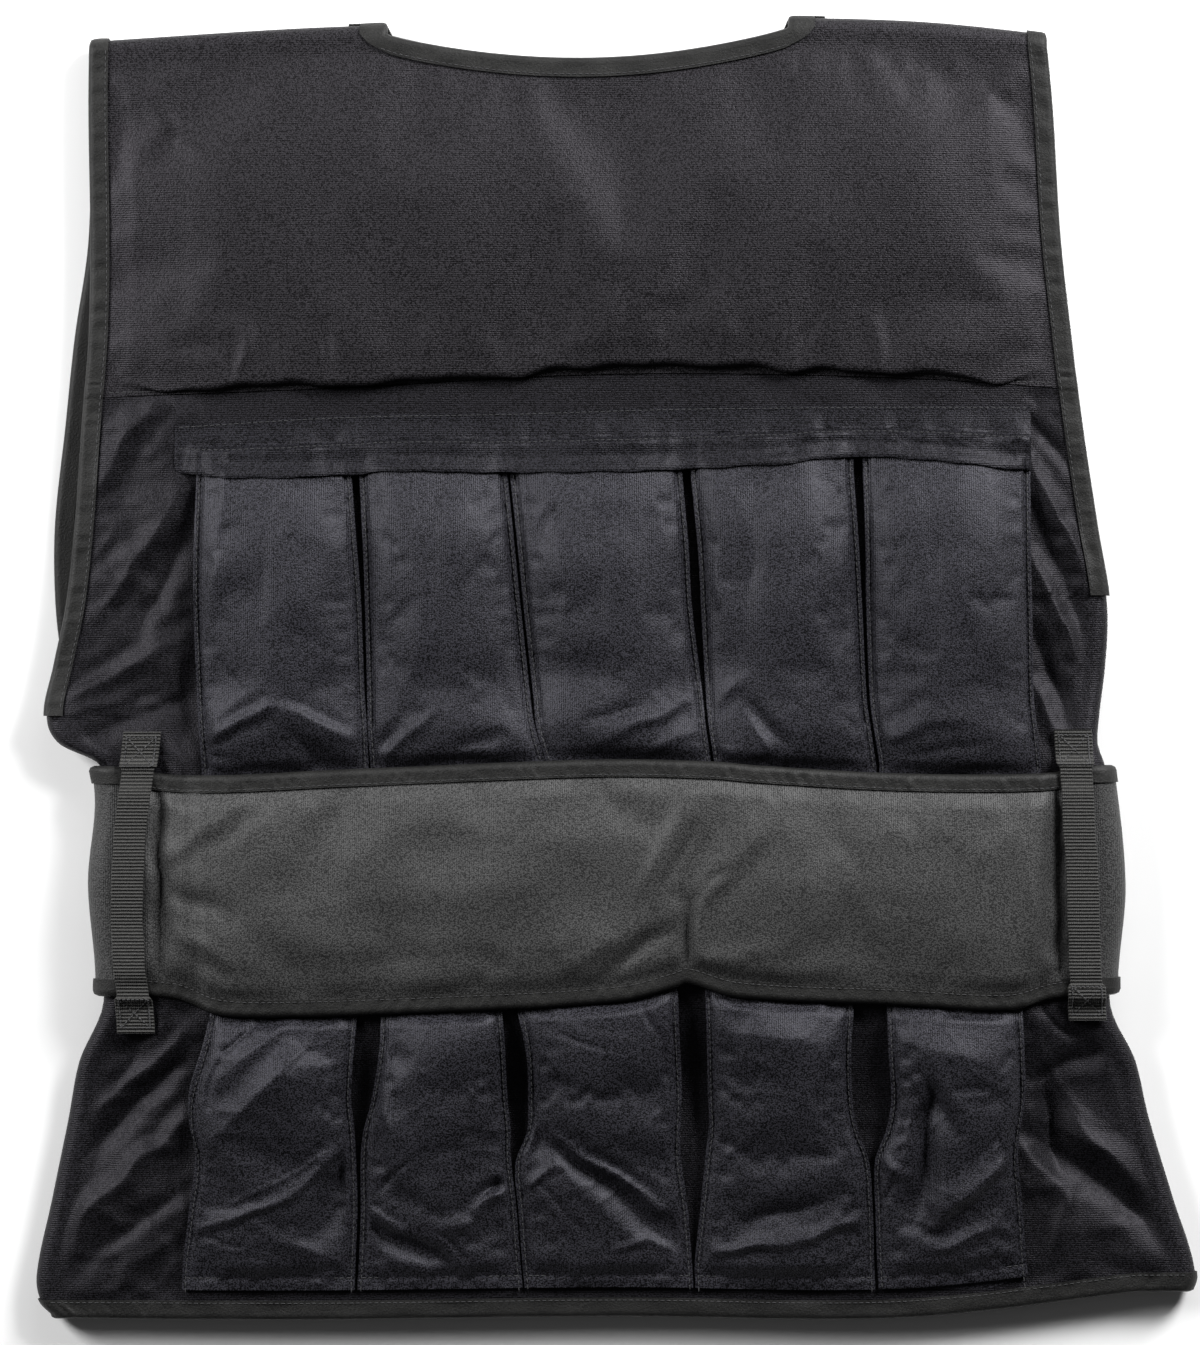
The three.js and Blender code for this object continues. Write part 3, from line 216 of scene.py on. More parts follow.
# The folds, dents and creases of each piece. A fold runs from x, y to end_x, end_y, shares of half
# the hem width and of the body's length. reach is to each side and rise is above the cloth, in mm,
# below zero for a dent; lean makes one flank the steeper.
Fold = namedtuple("Fold", "name x y end_x end_y reach rise lean", defaults=[0])
FOLDS = {
    "yoke": [
        Fold("left side puff", -0.824, 0.931, -0.818, 0.725, 15, 1, 0.2),
        Fold("beside the left puff", -0.732, 0.916, -0.739, 0.733, 18, -0.6),
        Fold("left shoulder swell", -0.794, 0.954, -0.485, 0.935, 19.5, 0.6),
        Fold("neck crease left", -0.198, 0.953, -0.314, 0.855, 21.6, 0.5, 0.3),
        Fold("neck crease right", -0.16, 0.95, -0.049, 0.847, 19.8, 0.6, -0.3),
        Fold("neck hollow", -0.117, 0.924, 0.045, 0.878, 22.5, -0.5),
        Fold("middle swell", 0.148, 0.893, 0.045, 0.779, 30, 0.6),
        Fold("right side swell", 0.636, 0.924, 0.67, 0.756, 19.5, 1),
        Fold("right shoulder swell", 0.422, 0.947, 0.662, 0.954, 19.5, 0.5),
        Fold("lip pucker 1", -0.64, 0.721, -0.622, 0.756, 6, 1.6),
        Fold("lip pucker 2", -0.485, 0.727, -0.499, 0.76, 5.4, -1.3),
        Fold("lip pucker 3", -0.324, 0.727, -0.304, 0.765, 6, 1.6, 0.2),
        Fold("lip pucker 4", -0.184, 0.731, -0.198, 0.762, 5.4, -1.6),
        Fold("lip pucker 5", -0.013, 0.739, -0.003, 0.779, 6.6, 1.8),
        Fold("lip pucker 6", 0.083, 0.74, 0.114, 0.779, 5.4, -1.8),
        Fold("lip pucker 7", 0.196, 0.737, 0.182, 0.779, 6, 1.8),
        Fold("lip pucker 8", 0.319, 0.736, 0.345, 0.767, 5.4, -1.3),
        Fold("lip pucker 9", 0.456, 0.734, 0.443, 0.765, 6, 1.3),
    ],
    "margin": [
        Fold("upper left diagonal", -0.883, 0.64, -0.79, 0.701, 14.6, 3.6, 0.3),
        Fold("upper left long diagonal", -0.866, 0.547, -0.739, 0.632, 15.7, 4.6, 0.3),
        Fold("upper left dent", -0.814, 0.528, -0.735, 0.592, 11.3, -2.3),
        Fold("left swell above flop", -0.927, 0.478, -0.742, 0.519, 12.3, 3.6, -0.3),
        Fold("left flop dent", -0.924, 0.441, -0.746, 0.473, 11.3, -2.3),
        Fold("left flop crease", -0.938, 0.461, -0.794, 0.481, 5.7, 1.1, 0.3),
        Fold("left flop tuck", -0.948, 0.481, -0.845, 0.5, 6.8, -1.4),
        Fold("left edge pull", -0.893, 0.58, -0.848, 0.611, 6.8, 1),
        Fold("upper right diagonal", 0.72, 0.65, 0.826, 0.557, 14.6, 4.1, -0.3),
        Fold("right long diagonal", 0.717, 0.583, 0.826, 0.482, 13.5, 3.6, -0.3),
        Fold("right dent", 0.717, 0.617, 0.823, 0.524, 10.2, -2.4),
        Fold("right low dent", 0.717, 0.522, 0.802, 0.444, 10.2, -2.3),
        Fold("right low ridge", 0.72, 0.481, 0.785, 0.429, 9, 1.5),
        Fold("right high dent", 0.72, 0.683, 0.799, 0.649, 10.2, -1.8),
        Fold("skirt left high ridge", -0.739, 0.217, -0.886, 0.159, 9.5, 2.4, 0.2),
        Fold("skirt left high dent", -0.756, 0.192, -0.948, 0.105, 13.6, -5.1),
        Fold("skirt left main ridge", -0.732, 0.153, -0.951, 0.063, 13.6, 5.1, 0.3),
        Fold("skirt left low dent", -0.735, 0.099, -0.9, 0.044, 10.5, -2.4),
        Fold("skirt left low ridge", -0.742, 0.067, -0.845, 0.037, 8.4, 1.5),
        Fold("skirt left tuck", -0.79, 0.226, -0.848, 0.18, 8.4, -1.9),
        Fold("skirt left edge ridge", -0.893, 0.191, -0.968, 0.084, 8.4, 1.5),
        Fold("skirt right top line", 0.737, 0.237, 0.785, 0.215, 3.2, -1.2),
        Fold("skirt right cross dent", 0.741, 0.189, 0.84, 0.205, 10.5, -3.3),
        Fold("skirt right side dent", 0.741, 0.176, 0.758, 0.115, 11.5, -5.3),
        Fold("skirt right main dent", 0.727, 0.137, 0.97, 0.058, 14.6, -5.3, 0.3),
        Fold("skirt right main ridge", 0.795, 0.151, 0.905, 0.104, 11.5, 4.1),
        Fold("skirt right fork", 0.703, 0.133, 0.782, 0.092, 7.3, 2.4, -0.3),
        Fold("skirt right fork foot", 0.782, 0.092, 0.754, 0.052, 6.3, 1.8),
        Fold("skirt right edge ridge", 0.84, 0.205, 0.939, 0.101, 10.5, 1.8),
        Fold("skirt right edge ridge foot", 0.939, 0.101, 0.977, 0.058, 9.5, 1.5),
        Fold("skirt right low swell", 0.833, 0.057, 0.953, 0.044, 10.5, 1.1),
    ],
    "upper 1": [
        Fold("left roll", -0.664, 0.643, -0.681, 0.574, 11, 2.4, 0.3),
        Fold("left roll foot", -0.681, 0.574, -0.713, 0.531, 9, 2, 0.3),
        Fold("middle hollow", -0.588, 0.626, -0.602, 0.519, 20, -2.4),
        Fold("dimple", -0.698, 0.519, -0.701, 0.51, 5.4, -2.1),
        Fold("side crease", -0.67, 0.505, -0.636, 0.479, 1.8, -1),
        Fold("slump left", -0.705, 0.44, -0.588, 0.47, 8, 3.4, 0.6),
        Fold("slump left shade", -0.67, 0.456, -0.602, 0.475, 5, -1.6),
        Fold("slump right", -0.588, 0.47, -0.441, 0.445, 8, 3.2, -0.6),
        Fold("slump hollow", -0.537, 0.444, -0.482, 0.414, 11, -3.6),
        Fold("foot tuck", -0.701, 0.434, -0.64, 0.427, 3.4, -1.2),
    ],
    "upper 2": [
        Fold("left roll", -0.386, 0.638, -0.379, 0.481, 14.9, 1.6),
        Fold("hollow", -0.307, 0.626, -0.297, 0.473, 13.5, -1.7),
        Fold("right roll", -0.218, 0.638, -0.181, 0.481, 14.9, 1.4),
        Fold("foot tuck", -0.407, 0.437, -0.366, 0.449, 7, -2.6),
        Fold("foot ridge", -0.393, 0.426, -0.311, 0.464, 6, 1.6, 0.4),
        Fold("foot hollow", -0.28, 0.435, -0.194, 0.447, 6.8, -1.4),
    ],
    "upper 3": [
        Fold("left roll", -0.105, 0.638, -0.074, 0.481, 13.5, 1.6),
        Fold("hollow", -0.027, 0.626, -0.013, 0.489, 13.5, -1.7),
        Fold("right roll", 0.08, 0.638, 0.121, 0.504, 13.5, 1.5),
        Fold("foot cross", -0.023, 0.441, 0.131, 0.473, 8, 2.2, 0.5),
        Fold("foot hollow", -0.04, 0.458, 0.045, 0.467, 6.1, -1.6),
        Fold("low cross", 0.025, 0.427, 0.148, 0.452, 5, 1.2),
    ],
    "upper 4": [
        Fold("left roll", 0.165, 0.64, 0.186, 0.519, 8.1, 1.7, 0.3),
        Fold("hollow", 0.241, 0.634, 0.227, 0.519, 13.5, -2.3),
        Fold("right roll", 0.34, 0.638, 0.384, 0.481, 16.2, 1.6),
        Fold("fan left", 0.176, 0.473, 0.22, 0.492, 6, 1.6),
        Fold("lens", 0.244, 0.467, 0.282, 0.441, 8, -3),
        Fold("lens rim", 0.23, 0.464, 0.271, 0.426, 2.4, 1),
        Fold("foot line", 0.162, 0.442, 0.227, 0.426, 5, 1.6),
        Fold("foot tuck", 0.247, 0.423, 0.271, 0.434, 4.1, -1.7),
    ],
    "upper 5": [
        Fold("left roll", 0.467, 0.637, 0.477, 0.481, 12.2, 1.5),
        Fold("hollow", 0.542, 0.626, 0.552, 0.504, 14.9, -1.5),
        Fold("right roll", 0.645, 0.637, 0.662, 0.481, 14.9, 1.8),
        Fold("foot cross", 0.456, 0.443, 0.593, 0.461, 8, 2, 0.4),
        Fold("foot hollow", 0.491, 0.431, 0.636, 0.441, 4.1, -1),
    ],
    "lower 1": [
        Fold("flap crease", -0.598, 0.234, -0.664, 0.207, 2.3, -1.2),
        Fold("flap crease foot", -0.664, 0.207, -0.694, 0.165, 3.1, -1.5),
        Fold("long roll", -0.516, 0.214, -0.681, 0.14, 17, 4.9, 0.4),
        Fold("upper swell", -0.554, 0.229, -0.657, 0.189, 10.8, 2.6),
        Fold("cross crease", -0.456, 0.133, -0.557, 0.093, 4.9, 2, -0.4),
        Fold("cross crease foot", -0.557, 0.093, -0.708, 0.069, 5.4, 2.2, -0.3),
        Fold("fine crease", -0.484, 0.127, -0.66, 0.089, 2.3, 0.6),
        Fold("corner hollow", -0.458, 0.121, -0.496, 0.064, 12.6, -7.1),
        Fold("foot line", -0.718, 0.062, -0.633, 0.058, 2.3, -0.6),
        Fold("foot swell", -0.571, 0.061, -0.485, 0.049, 10.8, 2.3),
    ],
    "lower 2": [
        Fold("left swell", -0.39, 0.16, -0.366, 0.107, 9.8, 3.7, 0.3),
        Fold("crease", -0.348, 0.123, -0.412, 0.096, 3.1, -1),
        Fold("brow", -0.42, 0.085, -0.362, 0.073, 4.9, 1.8, -0.4),
        Fold("brow hollow", -0.407, 0.067, -0.287, 0.044, 9.8, -6.4),
        Fold("slit", -0.301, 0.066, -0.246, 0.047, 3.1, -1.2),
        Fold("pinch", -0.169, 0.102, -0.229, 0.087, 5.4, 3.4),
        Fold("pinch hollow", -0.174, 0.113, -0.218, 0.095, 6.2, -4.6),
        Fold("swell", -0.239, 0.079, -0.271, 0.072, 9, 2.8),
    ],
    "lower 3": [
        Fold("left crease", -0.16, 0.235, -0.112, 0.163, 3.1, 1, 0.4),
        Fold("left gusset", -0.14, 0.183, -0.129, 0.131, 6.2, -4.6),
        Fold("small crease", -0.095, 0.22, -0.016, 0.208, 2.3, -0.8),
        Fold("right crease", 0.042, 0.25, 0.086, 0.206, 2.3, -1.3),
        Fold("right crease foot", 0.086, 0.206, 0.11, 0.154, 3.1, -1.5),
        Fold("sash", -0.081, 0.13, 0.107, 0.06, 15.4, -8.6, 0.2),
        Fold("sash brow", -0.092, 0.14, 0.08, 0.087, 6.2, 3.7, -0.3),
        Fold("pinch", -0.16, 0.101, -0.092, 0.116, 4.9, 2.1, 0.3),
        Fold("low crease", -0.126, 0.104, -0.047, 0.069, 3.1, -1),
        Fold("ripple left", 0.001, 0.055, 0.056, 0.064, 4.9, 1.5),
        Fold("ripple right", 0.056, 0.064, 0.107, 0.052, 4.9, 1.5),
        Fold("fan", -0.023, 0.088, 0.045, 0.115, 3.1, 0.6),
    ],
    "lower 4": [
        Fold("top swell", 0.217, 0.221, 0.354, 0.214, 14.4, 1.8),
        Fold("side dent", 0.172, 0.138, 0.199, 0.131, 4.9, -1.3),
        Fold("low cross", 0.176, 0.052, 0.34, 0.063, 6.2, 2.9, 0.3),
        Fold("low cross end", 0.34, 0.063, 0.419, 0.076, 6.2, 2.9, 0.3),
        Fold("hollow", 0.234, 0.076, 0.371, 0.092, 12.6, -3.4),
        Fold("corner crease", 0.453, 0.067, 0.388, 0.032, 2.3, -1),
        Fold("right roll", 0.391, 0.221, 0.419, 0.13, 8.2, 3.4),
    ],
    "lower 5": [
        Fold("valley", 0.545, 0.173, 0.516, 0.075, 11.8, -9.7),
        Fold("valley head", 0.549, 0.176, 0.576, 0.145, 8.2, -3.7),
        Fold("left pinch", 0.446, 0.13, 0.484, 0.113, 5.4, 3.6),
        Fold("left slit", 0.484, 0.111, 0.446, 0.058, 3.1, -1.5),
        Fold("long ridge", 0.699, 0.134, 0.566, 0.082, 9, 5.2, -0.3),
        Fold("fine crease", 0.665, 0.121, 0.604, 0.096, 2.3, -0.8),
        Fold("top swell", 0.491, 0.214, 0.628, 0.198, 16.2, 2.3),
        Fold("right pinch", 0.699, 0.159, 0.672, 0.137, 5.4, 2.2),
        Fold("low cross", 0.542, 0.053, 0.662, 0.072, 7.2, 2.3),
    ],
    "belt": [
        Fold("centre pinch", 0.121, 0.253, 0.128, 0.322, 7, -5),
        Fold("centre pinch lip", 0.143, 0.263, 0.148, 0.313, 4.3, 1.6),
        Fold("pinch fan high", 0.145, 0.319, 0.25, 0.37, 11, 2.8, 0.4),
        Fold("pinch fan shade", 0.155, 0.333, 0.206, 0.347, 3.6, -1.8),
        Fold("pinch fan left", 0.05, 0.335, 0.131, 0.4, 11, 2.2, -0.3),
        Fold("pinch fan left shade", 0.093, 0.336, 0.138, 0.38, 4.3, -1.2),
        Fold("pinch low left", -0.013, 0.266, 0.1, 0.302, 6.5, -2.4),
        Fold("pinch low left ridge", -0.08, 0.272, 0.09, 0.312, 10, 2.2),
        Fold("pinch low right", 0.148, 0.275, 0.3, 0.285, 10, 2),
        Fold("left swell", -0.735, 0.36, -0.62, 0.4, 12, 2.6, 0.4),
        Fold("left fork", -0.735, 0.292, -0.6, 0.268, 11, 2.6, 0.3),
        Fold("left fork shade", -0.74, 0.325, -0.66, 0.312, 10, -2.6),
        Fold("left strap side", -0.776, 0.412, -0.772, 0.256, 7.5, -6.5),
        Fold("left outer strap side", -0.859, 0.418, -0.869, 0.25, 3.6, -2.2),
        Fold("left end swell", -0.883, 0.397, -0.883, 0.282, 6.5, 1.6),
        Fold("right strap side", 0.757, 0.405, 0.762, 0.256, 7, -6),
        Fold("right outer strap side", 0.83, 0.414, 0.854, 0.255, 3.6, -2.2),
        Fold("right end swell", 0.854, 0.397, 0.857, 0.275, 5.8, 1.4),
        Fold("right swell", 0.693, 0.374, 0.723, 0.282, 7.2, 1.6, -0.3),
        Fold("left ridge by the strap", -0.732, 0.4, -0.735, 0.28, 9, 2.4, 0.3),
        Fold("right ridge by the strap", 0.715, 0.395, 0.718, 0.28, 9, 2.2, -0.3),
        Fold("long sag", -0.537, 0.317, -0.092, 0.336, 24.6, 1),
        Fold("right long sag", 0.251, 0.336, 0.628, 0.328, 24.6, 1),
        Fold("low shade", -0.537, 0.271, -0.126, 0.282, 10.2, -0.9),
    ],
}

# The webbing loops: the line that each follows, from its upper patch to its lower one.
Loop = namedtuple("Loop", "name head middle foot")
LOOPS = [
    Loop("belt_loop_left", (-0.806, 0.449), (-0.83, 0.333), (-0.818, 0.219)),
    Loop("belt_loop_right", (0.786, 0.451), (0.8, 0.333), (0.81, 0.229)),
]


def mix(a, b, t):
    return a + (b - a) * t


def smooth(t):
    t = np.clip(t, 0, 1)
    return t * t * (3 - 2 * t)


def curve(places, values):
    """A smooth curve through a short table of places and values, level beyond its two ends."""
    places = np.asarray(places, float)
    values = np.asarray(values, float)
    before = np.maximum(np.arange(len(places)) - 1, 0)
    after = np.minimum(np.arange(len(places)) + 1, len(places) - 1)
    slopes = (values[after] - values[before]) / (places[after] - places[before])

    def at(x):
        x = np.clip(np.asarray(x, float), places[0], places[-1])
        k = np.clip(np.searchsorted(places, x, side="right") - 1, 0, len(places) - 2)
        span = places[k + 1] - places[k]
        t = (x - places[k]) / span
        rise = t * t * (3 - 2 * t)
        bend = slopes[k] * t * (1 - t) ** 2 + slopes[k + 1] * t * t * (t - 1)
        return mix(values[k], values[k + 1], rise) + span * bend

    return at


def ripples(x, y, size, seed, stretch=1.0):
    """Smooth random waves about size mm across, roughly from -1 to 1."""
    rng = np.random.default_rng(seed)
    count = 14
    total = np.zeros(np.broadcast(x, y).shape)
    for turn, length, phase in zip(
        rng.uniform(0, math.pi, count), rng.uniform(0.7, 1.5, count), rng.uniform(0, 6.283, count)
    ):
        pace = 2 * math.pi / (size * length)
        total += np.sin(pace * (x * math.cos(turn) + y * math.sin(turn) / stretch) + phase)
    return total / math.sqrt(count / 2) * 0.6


def creases(x, y, size, seed, stretch=1.0):
    """Thin raised lines that wander between flatter patches, from 0 to 1."""
    bent_x = x + size * 0.5 * ripples(x, y, size * 2.2, seed + 1)
    bent_y = y + size * 0.5 * ripples(x, y, size * 2.2, seed + 2)
    return np.clip(1 - np.abs(ripples(bent_x, bent_y, size, seed, stretch)) * 1.6, 0, 1) ** 2


def line(name):
    """A line across the vest, as its height for each x."""
    across, up = zip(*LINES[name])
    shares = curve(across, up)
    return lambda x: (shares(x / HEM_WIDTH + 0.5) - 0.5) * BODY_LENGTH


def raised(level, by):
    return lambda x: level(x) + by


def share_up(y):
    return y / BODY_LENGTH + 0.5


SIDE_CURVES = {
    column: curve([s.up for s in SIDES], [getattr(s, column) for s in SIDES])
    for column in ("left", "right", "front_left")
}
hem = line("hem")
belt_foot = line("belt foot")
belt_head = line("belt head")
flap_foot = line("flap foot")
flap_head = line("flap head")
yoke_seam = line("yoke seam")
yoke_lip = line("yoke lip")
shoulder = line("shoulder")
pocket_foot = raised(hem, 13)


def top_line(drop):
    """The neckline, and the shoulders to its sides, where the folds to the front begin."""
    def at(x):
        t = np.clip((x - NECK_MIDDLE) / (NECK_WIDTH / 2), -1, 1)
        return shoulder(x) - FOLD_RADIUS - drop * np.cos(math.pi / 2 * t) ** 0.8

    return at


back_top = top_line(BACK_NECK_DROP)
front_top = top_line(FRONT_NECK_DROP)


def edge_room(y, underarm):
    """The room outside the flat cloth: its fold's up to the underarm, its tape's above."""
    return np.where(y > underarm, TAPE_ROOM, FOLD_RADIUS)


def left_edge(y, column="left"):
    """Where the flat cloth ends on the left."""
    return edge_room(y, LEFT_UNDERARM) - SIDE_CURVES[column](share_up(y)) * HALF_WIDTH


def right_edge(y):
    return SIDE_CURVES["right"](share_up(y)) * HALF_WIDTH - edge_room(y, RIGHT_UNDERARM)


def place(share):
    return share[0] * HALF_WIDTH, (share[1] - 0.5) * BODY_LENGTH


def fold_rise(on, x, y):
    """How much the folds of one piece lift its cloth."""
    x, y = np.broadcast_arrays(np.asarray(x, float), np.asarray(y, float))
    bent_x = x + 1.1 * ripples(x, y, 26, 11)
    bent_y = y + 1.1 * ripples(x, y, 26, 12)
    total = np.zeros(x.shape)
    for fold in FOLDS[on]:
        (ax, ay), (bx, by) = place((fold.x, fold.y)), place((fold.end_x, fold.end_y))
        length = math.hypot(bx - ax, by - ay)
        tx, ty = (bx - ax) / length, (by - ay) / length
        along = (bent_x - ax) * tx + (bent_y - ay) * ty
        across = (bent_x - ax) * ty - (bent_y - ay) * tx
        body = np.clip(along / length, 0, 1)
        side = across / (fold.reach * (0.78 + 0.44 * body))
        side = side * (1 + fold.lean * np.sign(side))
        beyond = np.maximum(0, np.maximum(-along, along - length)) / (1.3 * fold.reach)
        away = np.hypot(side, beyond)
        taper = 0.25 + 0.75 * np.sin(math.pi * (body * 0.86 + 0.07)) ** 0.7
        form = (1 - smooth(away)) * (0.6 + 0.4 * np.exp(-3 * away))
        total += fold.rise * taper * form
    return total


def over_overlap(x, ramp):
    return smooth((BELT_OVERLAP / 2 + ramp - np.abs(x)) / ramp)


def belt_lift(x, y):
    """1 where the belt passes under the cloth, falling away above and below it."""
    away = np.maximum(belt_foot(x) - BELT_LIP - y, y - belt_head(x) - BELT_LIP)
    return 1 - smooth(np.maximum(away, 0) / 50)


def inset(x, y, top, column="left"):
    sides = np.minimum(x - left_edge(y, column), right_edge(y) - x)
    return np.minimum(sides, np.minimum(y - hem(x), top(x) - y))


def back_under(x, y):
    """The height of the back's inner face over the table."""
    hollow = mix(HOLLOW_AT_EDGE, HOLLOW, smooth(inset(x, y, back_top) / CROWN_RAMP))
    lift = belt_lift(x, y) * BELT_LAYER * (1 + over_overlap(x, 2 * OVERLAP_RAMP))
    return TAPE_ROOM + CLOTH + hollow + lift


def margin_relief(x, y):
    """The folds and small wrinkles of the back, calm under the tapes."""
    calm = smooth((inset(x, y, back_top) - 3) / 9)
    skirt = 1 - smooth((y - belt_foot(x)) / 8)
    crumple = (0.12 + 0.3 * skirt) * creases(x, y, 46, 21)
    small = 0.45 * ripples(x, y, 40, 27)
    return calm * (fold_rise("margin", x, y) + crumple + small)


def back_over(x, y):
    """The height of the back's outer face, without its folds."""
    return back_under(x, y) + CLOTH


def front_under(x, y, taped):
    resting = TAPE_ROOM * taped
    lift = belt_lift(x, y)
    return mix(resting, BELT_LAYER * (1 + over_overlap(x, OVERLAP_RAMP)), lift)


def fold_centre(x, y):
    return (back_under(x, y) + CLOTH + front_under(x, y, 1)) / 2


def points(x, y, z):
    return np.stack(np.broadcast_arrays(x, y, z), axis=-1).astype(float)


def to_frame(cloud):
    return (np.asarray(cloud, float).reshape(-1, 3) + FRAME_SHIFT) * MM


def link(thing):
    bpy.context.scene.collection.objects.link(thing)


def signed_volume(cloud, faces):
    a, b, c, d = (cloud[faces[:, k]] for k in range(4))
    first = np.einsum("ij,ij->i", a, np.cross(b, c)).sum()
    return first + np.einsum("ij,ij->i", a, np.cross(c, d)).sum()


def closed_mesh(name, cloud, faces, caps=(), crease=50):
    """A mesh object of four-sided faces that point outwards, with its caps."""
    cloud = to_frame(cloud)
    faces = np.asarray(faces)
    caps = [list(cap) for cap in caps]
    if signed_volume(cloud - cloud.mean(axis=0), faces) < 0:
        faces = faces[:, ::-1]
        caps = [cap[::-1] for cap in caps]
    mesh = bpy.data.meshes.new(name)
    mesh.from_pydata(cloud.tolist(), [], faces.tolist() + caps)
    mesh.validate()
    mesh.shade_smooth()
    mesh.set_sharp_from_angle(angle=math.radians(crease))
    piece = bpy.data.objects.new(name, mesh)
    link(piece)
    return piece


def slab(name, outer, inner, keep=None):
    """A closed sheet between two lattices of points; keep says which of its cells are there."""
    columns, rows = outer.shape[:2]
    if keep is None:
        keep = np.ones((columns - 1, rows - 1), bool)
    over = np.arange(columns * rows).reshape(columns, rows)
    under = over + columns * rows
    a, b, c, d = over[:-1, :-1], over[1:, :-1], over[1:, 1:], over[:-1, 1:]
    e, f, g, h = under[:-1, :-1], under[1:, :-1], under[1:, 1:], under[:-1, 1:]
    around = np.pad(keep, 1)
    walls = [
        (around[1:-1, :-2], (e, f, b, a)),
        (around[2:, 1:-1], (f, g, c, b)),
        (around[1:-1, 2:], (g, h, d, c)),
        (around[:-2, 1:-1], (h, e, a, d)),
    ]
    faces = [np.stack((a, b, c, d), -1)[keep], np.stack((e, h, g, f), -1)[keep]]
    faces += [np.stack(quad, -1)[keep & ~beside] for beside, quad in walls]
    faces = np.concatenate(faces)
    used, faces = np.unique(faces, return_inverse=True)
    cloud = np.concatenate([outer.reshape(-1, 3), inner.reshape(-1, 3)])[used]
    return closed_mesh(name, cloud, faces.reshape(-1, 4))


def loft(name, rings, closed=False, crease=50):
    """A closed solid through rings of points, joined into a loop or capped at its two ends."""
    count, sides = rings.shape[:2]
    index = np.arange(count * sides).reshape(count, sides)
    here = index if closed else index[:-1]
    beyond = np.roll(index, -1, axis=0) if closed else index[1:]
    faces = np.stack((here, np.roll(here, -1, 1), np.roll(beyond, -1, 1), beyond), -1).reshape(-1, 4)
    caps = [] if closed else [index[0][::-1].tolist(), index[-1].tolist()]
    return closed_mesh(name, rings.reshape(-1, 3), faces, caps, crease)


def spaced(stops, cells):
    """Positions from stop to stop, with so many cells from each to the next."""
    parts = [np.linspace(a, b, n, endpoint=False) for a, b, n in zip(stops, stops[1:], cells)]
    return np.concatenate([*parts, np.asarray(stops[-1])[None]])


def rows_between(x, levels, cells):
    """The heights of the rows that run from line to line, for a lattice of x."""
    heights = []
    row = 0
    for low, high, count in zip(levels, levels[1:], cells):
        for k in range(count):
            at = x[:, row]
            heights.append(mix(low(at), high(at), k / count))
            row += 1
    heights.append(levels[-1](x[:, row]))
    return np.stack(heights, axis=1)


def sheet_lattice(levels, row_cells, columns_at, column="left"):
    """A lattice of x and y between the vest's two edges; columns_at gives a row's x values."""
    rows = sum(row_cells) + 1
    beside = [np.full((1, rows), share * HALF_WIDTH) for share in (-0.9, 0.85)]
    near_left, near_right = (rows_between(x, levels, row_cells)[0] for x in beside)
    middle = rows_between(np.zeros((1, rows)), levels, row_cells)[0]
    x = columns_at(left_edge(near_left, column), right_edge(near_right), middle)
    return x, rows_between(x, levels, row_cells)


ROLL_ANGLES = np.radians((15, 30, 45, 60, 75, 90))
ROLLS = len(ROLL_ANGLES)
LEFTWARD = np.array([-1.0, 0, 0])
RIGHTWARD = np.array([1.0, 0, 0])
FORWARD = np.array([0, 1.0, 0])
SKYWARD = np.array([0, 0, 1.0])


def rolled(outer, inner, centre, outward, facing):
    """The strips that carry a sheet's edge round its fold, as outer and inner points."""
    middle = outer.copy()
    middle[..., 2] = centre + facing * GAP / 2
    strips = []
    for angle in ROLL_ANGLES:
        pair = []
        for side in (outer, inner):
            radius = np.abs(side[..., 2] - middle[..., 2])[..., None]
            way = math.sin(angle) * outward + facing * math.cos(angle) * SKYWARD
            pair.append(middle + radius * way)
        strips.append(pair)
    return strips


def with_side_rolls(outer, inner, centre, facing):
    left_out = LEFTWARD * edge_room(outer[0, :, 1:2], LEFT_UNDERARM) / FOLD_RADIUS
    right_out = RIGHTWARD * edge_room(outer[-1, :, 1:2], RIGHT_UNDERARM) / FOLD_RADIUS
    left = rolled(outer[0], inner[0], centre[0], left_out, facing)[::-1]
    right = rolled(outer[-1], inner[-1], centre[-1], right_out, facing)
    both = []
    for side, flat in enumerate((outer, inner)):
        parts = [np.stack([pair[side] for pair in left]), flat, np.stack([pair[side] for pair in right])]
        both.append(np.concatenate(parts))
    return both


def with_top_roll(outer, inner, centre, facing):
    strips = rolled(outer[:, -1], inner[:, -1], centre, FORWARD, facing)
    return [
        np.concatenate([flat, np.stack([pair[side] for pair in strips], axis=1)], axis=1)
        for side, flat in enumerate((outer, inner))
    ]


TAPE_CELLS = 6


def tape_ring_points(outer, inner, out, ripple):
    """One tape's rings: outer and inner are strips from the sheet's edge inwards, out the way out."""
    across = outer - inner
    across /= np.linalg.norm(across, axis=-1, keepdims=True)
    edge = (outer[:, 0] + inner[:, 0]) / 2
    half = np.linalg.norm(outer[:, 0] - inner[:, 0], axis=-1, keepdims=True) / 2
    up = across[:, 0]
    rings = []
    for off, lump in ((TAPE_ROOM, ripple), (GAP, 0)):
        over = outer + across * (off + lump)
        below = inner - across * off
        bend = [
            edge + (half + off) * (math.cos(a) * up + math.sin(a) * out)
            for a in np.radians((40, 90, 140))
        ]
        ring = [*np.moveaxis(over[:, ::-1], 1, 0), *bend, *np.moveaxis(below, 1, 0)]
        rings.append(ring)
    return np.stack([*rings[0], *rings[1][::-1]], axis=1)


